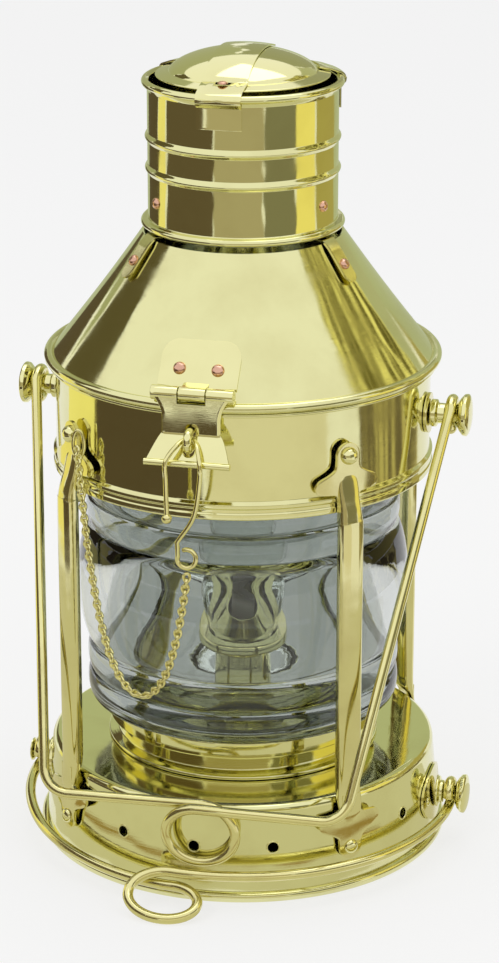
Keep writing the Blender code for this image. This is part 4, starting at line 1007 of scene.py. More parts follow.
@dataclass
class Studio:
    """Camera, floor, light and reflection cards."""

    distance: float = 1.465
    azimuth: float = 14.0
    elevation: float = 19.18
    look_z: float = 0.175
    lens: float = 113.94
    shift_px: float = 6.5
    image_h: float = 963.0
    floor_half: float = 14.0
    cards: tuple[Card, ...] = (
        Card("card_low_gold", -113, -80, 0.0, 0.125, 0.50, (1.0, 0.92, 0.34)),
        Card("card_low_brown", -79, -7, 0.0, 0.125, 0.50, (0.10, 0.075, 0.045)),
        Card("card_low_pale", -5, 62, 0.0, 0.125, 0.52, (0.80, 0.76, 0.62)),
        Card("card_low_mottled", 84, 140, 0.0, 0.125, 0.50, (0.16, 0.13, 0.07), (0.55, 0.48, 0.20)),
        Card("card_mid_edge", -137, -104, 0.13, 0.34, 0.50, (0.11, 0.085, 0.05)),
        Card("card_mid_gold", -103, -88, 0.13, 0.34, 0.50, (1.0, 0.90, 0.35)),
        Card("card_mid_brown", -87, -21, 0.13, 0.34, 0.50, (0.13, 0.10, 0.06)),
        Card("card_mid_front", -20, 37, 0.13, 0.34, 0.52, (0.46, 0.41, 0.28)),
        Card("card_mid_olive", 38, 77, 0.13, 0.34, 0.50, (0.24, 0.23, 0.15)),
        Card("card_mid_sun", 78, 107, 0.13, 0.34, 0.50, (1.0, 0.88, 0.30)),
        Card("card_mid_warm", 108, 150, 0.13, 0.34, 0.50, (0.46, 0.40, 0.14)),
        Card("card_high_brown", -112, -85, 0.36, 0.75, 0.50, (0.12, 0.10, 0.05)),
        Card("card_high_left", -165, -113, 0.36, 0.75, 0.52, (0.42, 0.44, 0.28)),
        Card("card_high_trees", 90, 134, 0.36, 0.85, 0.50, (0.14, 0.12, 0.03), (1.0, 0.92, 0.36)),
        Card("card_high_right", 135, 165, 0.36, 0.75, 0.52, (0.50, 0.52, 0.35)),
        Card("card_high_back", 166, 194, 0.44, 0.80, 0.60, (0.36, 0.37, 0.24)),
        Card("card_back_low", 150, 238, 0.10, 0.43, 0.62, (0.50, 0.54, 0.36)),
        Card("card_floor", -128, 118, 0.001, 0.34, 0.108, (0.66, 0.64, 0.48), None, True),
        Card("card_floor_line", -62, 75, 0.003, 0.012, 0.142, (0.34, 0.24, 0.07), None, True),
    )

    def aim(self, item: Piece, place: Vector) -> None:
        """Hangs a camera or a light and turns it to the lamp.

        Args:
            item: The camera or light.
            place: Where it hangs.
        """
        item.location = place
        item.rotation_euler = (Vector((0, 0, self.look_z)) - place).to_track_quat("-Z", "Y").to_euler()
        bpy.context.scene.collection.objects.link(item)

    def add_camera(self) -> Piece:
        """Stands the camera where the photograph was taken from.

        Returns:
            The camera.
        """
        azimuth = math.radians(self.azimuth)
        elevation = math.radians(self.elevation)
        flat = self.distance * math.cos(elevation)
        rise = self.look_z + self.distance * math.sin(elevation)
        place = Vector((flat * math.sin(azimuth), -flat * math.cos(azimuth), rise))
        data = bpy.data.cameras.new("camera")
        data.sensor_width = 36.0
        data.lens = self.lens
        data.shift_x = self.shift_px / self.image_h
        camera = bpy.data.objects.new("camera", data)
        self.aim(camera, place)
        bpy.context.scene.camera = camera
        return camera

    def add_world(self) -> None:
        """Makes a white surround for what is seen, and softer light elsewhere."""
        world = bpy.data.worlds.new("studio")
        bpy.context.scene.world = world
        world.use_nodes = True
        tree = world.node_tree
        background = tree.nodes["Background"]
        background.inputs["Color"].default_value = (1, 1, 1, 1)
        strength = math_node(tree, "ADD", math_node(tree, "MULTIPLY", seen_rays(tree), 0.35), 0.65)
        tree.links.new(strength, background.inputs["Strength"])

    def add_floor(self) -> None:
        """Lays a pale floor that looks white and keeps the lamp's shadow."""
        bm = bmesh.new()
        bmesh.ops.create_grid(bm, x_segments=1, y_segments=1, size=self.floor_half)
        floor = mesh_piece("floor", bm, closed=False)
        material, tree, shader = new_material("floor_pale")
        shader.inputs["Base Color"].default_value = (0.86, 0.86, 0.86, 1)
        shader.inputs["Roughness"].default_value = 0.9
        glow = tree.nodes.new("ShaderNodeEmission")
        glow.inputs["Strength"].default_value = 1.0
        mix = tree.nodes.new("ShaderNodeMixShader")
        tree.links.new(math_node(tree, "MULTIPLY", seen_rays(tree), 0.72), mix.inputs[0])
        tree.links.new(shader.outputs[0], mix.inputs[1])
        tree.links.new(glow.outputs[0], mix.inputs[2])
        tree.links.new(mix.outputs[0], tree.nodes["Material Output"].inputs["Surface"])
        floor.data.materials.append(material)

    def add_lamp(self, name: str, place: Vector, size: float, power: float, shows: bool) -> None:
        """Hangs a soft square light that looks at the lamp.

        Args:
            name: Its name.
            place: Where it hangs.
            size: Its side.
            power: In watts.
            shows: Whether the metal reflects it.
        """
        data = bpy.data.lights.new(name, "AREA")
        data.size = size
        data.energy = power
        light = bpy.data.objects.new(name, data)
        light.visible_glossy = shows
        self.aim(light, place)

    def add_card(self, card: Card) -> None:
        """Stands a curved card on the floor round the lamp.

        Args:
            card: What it is.
        """
        bm = bmesh.new()
        bmesh.ops.create_grid(bm, x_segments=48, y_segments=20, size=0.5)
        for vert in bm.verts:
            azimuth = card.start + (card.end - card.start) * (vert.co.x + 0.5)
            level = card.low + (card.high - card.low) * (vert.co.y + 0.5)
            if card.on_floor:
                wander = 0.004 * math.sin(azimuth * 0.13) + 0.002 * math.sin(azimuth * 0.31)
                vert.co = polar(card.radius + level + wander, azimuth, card.low)
            else:
                wander = 1.3 * math.sin(level * 31 + card.start) + 0.8 * math.sin(level * 83 + card.end)
                vert.co = polar(card.radius, azimuth + wander, level)
        piece = mesh_piece(card.name, bm, closed=False)
        material, tree, _ = new_material(card.name)
        glow = tree.nodes.new("ShaderNodeEmission")
        glow.inputs["Color"].default_value = (*card.colour, 1)
        if card.streak_colour:
            coords = tree.nodes.new("ShaderNodeTexCoord").outputs["Object"]
            streaks = noise_node(tree, coords, 26, 3)
            streaks = math_node(tree, "MULTIPLY", math_node(tree, "SUBTRACT", streaks, 0.47), 9, clamp=True)
            tree.links.new(mix_node(tree, streaks, card.colour, card.streak_colour), glow.inputs["Color"])
        tree.links.new(glow.outputs[0], tree.nodes["Material Output"].inputs["Surface"])
        piece.data.materials.append(material)
        for ray in ("camera", "diffuse", "transmission", "shadow"):
            setattr(piece, "visible_" + ray, False)

    def build(self) -> None:
        """Sets up all but the camera."""
        self.add_world()
        self.add_floor()
        self.add_lamp("light_key", Vector((-0.9, -1.2, 1.6)), 0.9, 6, False)
        self.add_lamp("light_fill", Vector((1.3, -0.9, 1.1)), 0.9, 3, False)
        self.add_lamp("light_top", Vector((0.1, 0.3, 1.9)), 1.2, 5, True)
        for card in self.cards:
            self.add_card(card)
        LOG.info("studio is set up")


# Sub-assemblies


@dataclass
class BaseAssembly:
    """The skirt with its rolled foot and vents, and the pads, knob and stud of the lower bail."""

    finishes: Finishes
    opening_r: float = 0.0500
    vent_r: float = 0.0025
    vent_z: float = BASE_H - 0.0209
    vent_places: int = 16
    pad_half_w: float = 0.0200
    pad_half_h: float = 0.0125
    pad_t: float = 0.0012
    boss_r: float = 0.0075
    knob_r: float = 0.0095
    knob_t: float = 0.0060
    stud_r: float = 0.0058
    stud_t: float = 0.0020

    def vents(self) -> list[float]:
        """Lists the azimuths of the vent holes."""
        step = 360 / self.vent_places
        taken = GUARD_AZIMUTHS + (90.0, 270.0)
        return [index * step for index in range(self.vent_places) if index * step not in taken]

    def build_skirt(self) -> Piece:
        """Spins the skirt and drills its vents.

        Returns:
            The skirt.
        """
        bead = (BASE_R - FOOT_BEAD_R, FOOT_BEAD_R)
        edge = (SKIRT_TOP_R - BASE_EDGE_R, BASE_H - BASE_EDGE_R)
        outline: Profile = [(self.opening_r, BASE_H)]
        outline += arc(edge, BASE_EDGE_R, 90, 0, 10)
        low = 2 * FOOT_BEAD_R
        for index in range(1, 13):
            share = index / 12
            z = edge[1] + (low - edge[1]) * share
            outline.append((skirt_r(z), z))
        outline += arc(bead, FOOT_BEAD_R, 62, -90, 14)
        outline += [(SKIRT_FOOT_R - SHEET, 0), (SKIRT_FOOT_R - SHEET, low)]
        outline += arc(edge, BASE_EDGE_R - SHEET, 0, 90, 6)
        outline += [(self.opening_r, BASE_H - SHEET)]
        skirt = spun("skirt", outline, 256)
        reach = 0.012
        side = [(0, reach), (self.vent_r, reach), (self.vent_r, -reach), (0, -reach)]
        place = front_frame(skirt_r(self.vent_z), self.vent_z)
        drills = []
        for azimuth in self.vents():
            drills.append(moved(spun("drill", side, 28, closed=False), facing(azimuth) @ place))
        return cut(skirt, drills)

    def build_vent_rims(self) -> Piece:
        """Rings every vent with the low swage that punching leaves.

        Returns:
            The rims.
        """
        rims = []
        tilt = math.degrees(math.atan2(SKIRT_FOOT_R - SKIRT_TOP_R, BASE_H - BASE_EDGE_R - 2 * FOOT_BEAD_R))
        lean = Matrix.Rotation(math.radians(-tilt), 4, "X")
        place = front_frame(skirt_r(self.vent_z) - 0.0001, self.vent_z) @ lean
        for azimuth in self.vents():
            ring = spun("rim", arc((self.vent_r + 0.0004, 0), 0.00042, 0, 330, 10), 32)
            rims.append(moved(ring, facing(azimuth) @ place))
        return joined("vent_rims", rims)

    def build_pad(self, side: Side) -> Piece:
        """Bends an oval pad round the skirt.

        Args:
            side: Which side.

        Returns:
            The pad.
        """
        rows = 28

        def place(u: float, v: float) -> Vector:
            """Gives a point of the pad."""
            angle = math.pi * (1 - v)
            z = LOW_PIVOT_Z - self.pad_half_h * math.cos(angle)
            half = self.pad_half_w * math.sin(angle)
            radius = skirt_r(z) + GAP + self.pad_t / 2
            return polar(radius, side.value * 90 + math.degrees(u * half / radius), z)

        return sheet("pad_low_" + side.name.lower(), rows, 20, self.pad_t, place)

    def build_knob(self, side: Side, head_r: float, head_t: float) -> Piece:
        """Spins the knob or stud that the lower bail hooks on.

        Args:
            side: Which side.
            head_r: Radius of its head.
            head_t: Thickness of its head.

        Returns:
            The knob.
        """
        start = skirt_r(LOW_PIVOT_Z - self.boss_r) + self.pad_t + 2 * GAP
        return spun_knob("knob_low_" + side.name.lower(), side, start, LOW_BAIL_X, self.boss_r, LOW_NECK_R,
                         head_r, head_t, LOW_PIVOT_Z)

    def build(self) -> None:
        """Builds and dresses the base."""
        install(self.build_skirt(), self.finishes.shell, "base_skirt")
        install(self.build_vent_rims(), self.finishes.bright)
        for side in Side:
            word = side.name.lower()
            install(self.build_pad(side), self.finishes.cast, "base_pad_" + word)
            for sign in (-1, 1):
                azimuth = side.value * 90 + sign * math.degrees(self.pad_half_w * 0.68 / SKIRT_FOOT_R)
                radius = skirt_r(LOW_PIVOT_Z) + GAP + self.pad_t
                place = facing(azimuth) @ front_frame(radius, LOW_PIVOT_Z)
                name = "pad_rivet_low_%s_%s" % (word, "front" if sign * side.value < 0 else "back")
                install(rivet(name, 0.0022, 0.0010, place), self.finishes.bright)
        knob = self.build_knob(Side.RIGHT, self.knob_r, self.knob_t)
        install(knob, self.finishes.bright, "base_knob_right")
        stud = self.build_knob(Side.LEFT, self.stud_r, self.stud_t)
        install(stud, self.finishes.bright, "base_stud_left")


def spun_knob(name: str, side: Side, start: float, eye_x: float, boss_r: float, neck_r: float, head_r: float,
              head_t: float, z: float) -> Piece:
    """Spins a mushroom knob: boss, neck under the wire's eye, and a flared head.

    Args:
        name: The piece's name.
        side: Which side.
        start: Where it stands on its pad.
        eye_x: Middle of the wire's eye.
        boss_r: Radius of its boss.
        neck_r: Radius of its neck.
        head_r: Radius of its head.
        head_t: Thickness of its head.
        z: Height of its axis.

    Returns:
        The knob.
    """
    boss_end = eye_x - WIRE_R - 2 * GAP
    head = eye_x + WIRE_R + 2 * GAP
    crown = head_t * 0.34
    outline: Profile = [(0, head + head_t)]
    for index in range(1, 9):
        angle = math.radians(90 * index / 8)
        outline.append((head_r * math.sin(angle), head + head_t - crown + crown * math.cos(angle)))
    outline += [(head_r * 0.98, head + head_t * 0.42), (head_r * 0.80, head + head_t * 0.16)]
    outline += [(head_r * 0.60, head), (neck_r, head), (neck_r, boss_end), (boss_r * 0.75, boss_end)]
    middle = (boss_end + start) / 2
    outline += [(boss_r * 0.75, middle), (boss_r, middle - SHEET / 2), (boss_r, start), (0, start)]
    knob = spun(name, softened(outline, 0.0008, closed=False, steps=4), 64, closed=False)
    turn = Matrix.Identity(4) if side is Side.RIGHT else Matrix.Rotation(math.pi, 4, "Z")
    return moved(knob, turn @ on_axis(0, 0, z))


@dataclass
class LensAssembly:
    """The seat ring and the stepped lens."""

    finishes: Finishes
    wall_r: float = 0.0610
    ring_out: float = 0.0045
    foot_out: float = 0.0050
    bore_in: float = 0.0055
    foot_t: float = 0.0016
    ring_h: float = 0.0080
    notch_w: float = 0.0030
    notch_depth: float = 0.0022
    notch_azimuths: tuple[float, ...] = (-24.0, 39.0, 156.0, 219.0)
    neck_h: float = 0.0030
    rib_r: float = 0.0757
    groove_r: float = 0.0722
    belly_r: float = 0.0800
    bore_r: float = 0.0575
    wall: float = 0.0062
    rib_h: float = 0.0140
    top_neck_h: float = 0.0055

    def build_seat(self) -> Piece:
        """Spins the seat and cuts its notches.

        Returns:
            The seat.
        """
        low = BASE_H + GAP
        top = SEAT_TOP_Z
        ring = self.wall_r + self.ring_out
        foot = self.wall_r + self.foot_out
        bore = self.wall_r - self.bore_in
        outline = [
            (ring, top),
            (ring, top - self.ring_h),
            (self.wall_r, top - self.ring_h - self.foot_t),
            (self.wall_r, low + 2 * self.foot_t),
            (foot, low + self.foot_t),
            (foot, low),
            (bore, low),
            (bore, top),
        ]
        seat = spun("seat_ring", softened(outline, 0.0009), 192)
        notches = []
        for azimuth in self.notch_azimuths:
            size = (self.notch_w, self.notch_depth * 2, self.ring_h * 0.55)
            middle = (0, -ring, top - self.ring_h * 0.45)
            notches.append(mesh_piece("notch", box(size, facing(azimuth) @ Matrix.Translation(middle))))
        return cut(seat, notches)

    def rib(self, top: float, steps: int = 12) -> Profile:
        """Gives one rounded prism rib, from its upper groove down to the next.

        Args:
            top: Height of its upper groove.
            steps: Parts of its bulge.

        Returns:
            Its points, the upper groove left out.
        """
        points = []
        for index in range(1, steps + 1):
            angle = math.pi * index / steps
            share = (1 - math.cos(angle)) / 2
            out = math.sin(angle) ** 0.62
            points.append((self.groove_r + (self.rib_r - self.groove_r) * out, top - self.rib_h * share))
        return points

    def build_lens(self) -> Piece:
        """Spins the lens with two ribs above its belly and two below.

        Returns:
            The lens.
        """
        low = LENS_LOW_Z
        shoulder_low = low + self.neck_h
        shoulder_top = LENS_TOP_Z
        top = LENS_TOP_Z + self.top_neck_h
        belly_top = shoulder_top - 2 * self.rib_h
        belly_low = shoulder_low + 2 * self.rib_h
        outline: Profile = [(LENS_NECK_R, top), (LENS_NECK_R, shoulder_top), (self.groove_r, shoulder_top)]
        outline += self.rib(shoulder_top) + self.rib(shoulder_top - self.rib_h)
        steps = 28
        for index in range(1, steps + 1):
            share = index / steps
            bulge = math.sin(math.pi * share) ** 0.45 if index < steps else 0.0
            outline.append((self.groove_r + (self.belly_r - self.groove_r) * bulge,
                            belly_top - (belly_top - belly_low) * share))
        outline += self.rib(belly_low) + self.rib(belly_low - self.rib_h)
        outline += [(LENS_NECK_R, shoulder_low), (LENS_NECK_R, low), (self.bore_r, low)]
        inner = self.groove_r - self.wall + SHEET
        hollow = [
            Vector((self.bore_r, shoulder_low, 0)),
            Vector((inner - 0.0030, shoulder_low + 0.0025, 0)),
            Vector((inner, shoulder_low + 0.0080, 0)),
            Vector((inner, (belly_low + belly_top) / 2, 0)),
            Vector((inner, shoulder_top - 0.0080, 0)),
            Vector((inner - 0.0030, shoulder_top - 0.0025, 0)),
            Vector((self.bore_r, shoulder_top, 0)),
        ]
        outline += [(place.x, place.y) for place in smooth_route(hollow, 6)]
        outline += [(self.bore_r, top)]
        return spun("lens_stepped", outline, 192)

    def build(self) -> None:
        """Builds and dresses the seat and the lens."""
        install(self.build_seat(), self.finishes.shell, "lens_seat")
        install(self.build_lens(), self.finishes.lens, "lens", slot=Slot.GLASS)


@dataclass
class DrumAssembly:
    """The drum with its gallery band and lip, and the pads and knobs of the main bail."""

    finishes: Finishes
    band_h: float = 0.0080
    lip_out: float = 0.0030
    pad_r: float = 0.0095
    pad_t: float = 0.0015
    boss_r: float = 0.0065
    knob_r: float = 0.0100
    knob_t: float = 0.0062

    def build_drum(self) -> Piece:
        """Spins the drum.

        Returns:
            The drum.
        """
        hole = LENS_NECK_R + 3 * GAP
        band_top = DRUM_Z + self.band_h
        lip = DRUM_R + self.lip_out
        inner = DRUM_R - SHEET
        under_lip = DRUM_TOP_Z - DRUM_LIP_T
        outline: Profile = [(lip, DRUM_TOP_Z), (lip, under_lip), (DRUM_R, under_lip)]
        outline += [(DRUM_R, band_top + 0.0006), (DRUM_BAND_R, band_top - 0.0008)]
        for share in (0.70, 0.62, 0.42, 0.34):
            groove = 0.0005 if share in (0.62, 0.42) else 0.0
            outline.append((DRUM_BAND_R - groove, DRUM_Z + self.band_h * share))
        outline += [(DRUM_BAND_R, DRUM_Z), (hole, DRUM_Z), (hole, DRUM_Z + SHEET), (inner, DRUM_Z + SHEET)]
        outline += [(inner, DRUM_TOP_Z)]
        return spun("drum_shell", softened(outline, 0.0007), 256)

    def build_joint(self) -> Piece:
        """Lays the soldered seam that runs down the drum, right of the hasp.

        Returns:
            The seam.
        """
        low = DRUM_Z + self.band_h + 0.0012
        high = DRUM_TOP_Z - 0.0032
        route = [(DRUM_R + 0.00005, low + (high - low) * index / 12) for index in range(13)]
        return ribbon("drum_seam", route, 0.0003, lambda share: 0.0005, 1.0, 2)

    def build_pad(self, side: Side) -> Piece:
        """Bends a round pad onto the drum.

        Args:
            side: Which side.

        Returns:
            The pad.
        """
        radius = DRUM_R + GAP + self.pad_t / 2

        def place(u: float, v: float) -> Vector:
            """Gives a point of the pad."""
            angle = math.pi * (1 - v)
            half = self.pad_r * math.sin(angle)
            z = PIVOT_Z - self.pad_r * math.cos(angle)
            return polar(radius, side.value * 90 + math.degrees(u * half / radius), z)

        return sheet("pad_high_" + side.name.lower(), 28, 20, self.pad_t, place)

    def build(self) -> None:
        """Builds and dresses the drum."""
        install(self.build_drum(), self.finishes.shell, "drum")
        install(self.build_joint(), self.finishes.cast)
        for side in Side:
            word = side.name.lower()
            install(self.build_pad(side), self.finishes.cast, "drum_pad_" + word)
            start = DRUM_R + self.pad_t + 2 * GAP
            knob = spun_knob("knob_high_" + word, side, start, BAIL_X, self.boss_r, KNOB_NECK_R, self.knob_r,
                             self.knob_t, PIVOT_Z)
            install(knob, self.finishes.bright, "bail_knob_" + word)


@dataclass
class GuardSet:
    """Four half round guards with their lobed lugs and feet, their bolts and rivets."""

    finishes: Finishes
    bar_w: float = 0.0122
    neck_w: float = 0.0096
    lug_t: float = 0.0018
    lug_half_w: float = 0.0165
    lug_neck_half_w: float = 0.0066
    eye_r: float = 0.0060
    lobe_h: float = 0.0142
    foot_t: float = 0.0016
    foot_lobe_h: float = 0.0130
    bolt_r: float = 0.0041
    bolt_h: float = 0.0038
    rivet_r: float = 0.0036
    rivet_h: float = 0.0022

    @property
    def foot_in_r(self) -> float:
        """Inner radius of the feet."""
        return SKIRT_FOOT_R + GAP

    @property
    def foot_eye_z(self) -> float:
        """Height of the feet's rivets."""
        return FOOT_BEAD_R * 2 + 0.0175

    def lobes(self, eye: float, lobe_h: float, stem_end: float, up: float) -> list[Vector]:
        """Gives the smooth side of a lobed plate, from its stem to the tip of its eye.

        Args:
            eye: Height of its eye.
            lobe_h: From the eye to the lobes.
            stem_end: Where its stem ends.
            up: 1 where the eye is at the top, -1 where it is at the foot.

        Returns:
            Points with half the width in X and the height in Y.
        """
        lobe = eye - up * lobe_h
        half = self.lug_half_w
        side = [
            Vector((self.neck_w / 2, stem_end)),
            Vector((self.neck_w / 2 + self.lug_t / 2, lobe - up * self.eye_r * 0.80)),
            Vector((half * 0.84, lobe - up * self.eye_r * 0.60)),
            Vector((half, lobe)),
            Vector((half * 0.90, lobe + up * self.eye_r * 0.55)),
            Vector((half * 0.60, lobe + up * self.eye_r * 0.95)),
            Vector((self.lug_neck_half_w, lobe + up * self.eye_r * 1.35)),
            Vector((self.eye_r * 0.99, eye - up * self.eye_r * 0.3)),
        ]
        curve = smooth_route(side, 5)
        for index in range(1, 13):
            angle = math.radians(90 * index / 12)
            curve.append(Vector((self.eye_r * math.cos(angle), eye + up * self.eye_r * math.sin(angle))))
        rising = [curve[0]]
        for point in curve[1:]:
            if (point.y - rising[-1].y) * up > 1e-5:
                rising.append(point)
        return rising

    def build_plate(self, name: str, side: list[Vector], radius: Callable[[float], float],
                    thickness: float) -> Piece:
        """Bends a lobed plate round the lamp.

        Args:
            name: The piece's name.
            side: Its side.
            radius: Gives the radius of its middle at a height.
            thickness: Of the plate.

        Returns:
            The plate.
        """
        rows = len(side) - 1

        def place(u: float, v: float) -> Vector:
            """Gives a point of the plate."""
            point = side[min(rows, round(v * rows))]
            r = radius(point.y)
            return polar(r, math.degrees(u * point.x / r), point.y)

        return sheet(name, rows, 12, thickness, place, 0.42)

    def build_bar(self) -> Piece:
        """Lofts the bar from behind its lug over the base's edge to its foot.

        Returns:
            The bar.
        """
        outer = self.foot_in_r + self.foot_t
        full = (outer - GUARD_IN_R) / 2
        middle = GUARD_IN_R + full
        half = self.bar_w / 2
        stations = [
            (DRUM_Z + 0.0185, GUARD_IN_R + 0.0010, half * 0.50, 0.0008),
            (DRUM_Z + 0.0160, GUARD_IN_R + 0.0013, half * 0.74, 0.0013),
            (DRUM_Z + 0.0120, GUARD_IN_R + 0.0018, half * 0.84, 0.0018),
            (DRUM_Z + 0.0075, middle - full * 0.38, half * 0.84, full * 0.62),
            (DRUM_Z + 0.0030, middle - full * 0.18, half * 0.87, full * 0.82),
            (DRUM_Z - 0.0025, middle - full * 0.04, half * 0.94, full * 0.96),
            (DRUM_Z - 0.0090, middle, half, full),
            (DRUM_Z - 0.0600, middle, half, full),
            (BASE_H + 0.0160, middle, half, full),
            (BASE_H + 0.0060, middle + full * 0.04, half, full * 0.96),
            (BASE_H + 0.0016, middle + full * 0.16, half * 1.02, full * 0.84),
            (BASE_H - 0.0030, middle + full * 0.52, half * 1.02, full * 0.46),
            (BASE_H - 0.0080, outer - 0.0010, half * 0.94, 0.0011),
            (BASE_H - 0.0120, outer - 0.0010, half * 0.70, 0.0009),
        ]
        places = smooth_route([Vector((0, -radius, z)) for z, radius, _, _ in stations], 5)
        sizes = smooth_route([Vector((half_w, half_d, 1)) for _, _, half_w, half_d in stations], 5)
        pairs = zip(places, sizes)
        rings = [Matrix.Translation(place) @ Matrix.Diagonal((*size, 1)) for place, size in pairs]
        return lofted("bar", rings, 36)

    def build_guard(self, index: int, azimuth: float) -> Piece:
        """Puts a guard's bar, lug and foot together.

        Args:
            index: Its number.
            azimuth: Its place.

        Returns:
            The guard.
        """
        lug_side = self.lobes(LUG_EYE_Z, self.lobe_h, DRUM_Z - self.neck_w / 2, 1)
        lug = self.build_plate("lug", lug_side, lambda z: GUARD_IN_R + self.lug_t / 2 + GAP / 2, self.lug_t)
        foot_side = self.lobes(self.foot_eye_z, self.foot_lobe_h, BASE_H + self.neck_w * 0.2, -1)
        foot_middle_r = self.foot_in_r + self.foot_t / 2 - GAP / 2
        foot = self.build_plate("foot", foot_side, lambda z: foot_middle_r, self.foot_t)
        guard = joined("guard_bar_%d" % index, [self.build_bar(), lug, foot], 66)
        return moved(guard, facing(azimuth))

    def build(self) -> None:
        """Builds and dresses the guards, their bolts and their rivets."""
        for index, azimuth in enumerate(GUARD_AZIMUTHS, 1):
            install(self.build_guard(index, azimuth), self.finishes.cast, "guard_%d" % index)
            place = facing(azimuth) @ front_frame(GUARD_IN_R + self.lug_t + GAP / 2, LUG_EYE_Z)
            bolt = rivet("lug_bolt_%d" % index, self.bolt_r, self.bolt_h, place)
            install(bolt, self.finishes.bright, "guard_bolt_%d" % index)
            place = facing(azimuth) @ front_frame(self.foot_in_r + self.foot_t - GAP / 2, self.foot_eye_z)
            head = rivet("foot_head_%d" % index, self.rivet_r, self.rivet_h, place)
            install(head, self.finishes.bright, "foot_rivet_%d" % index)


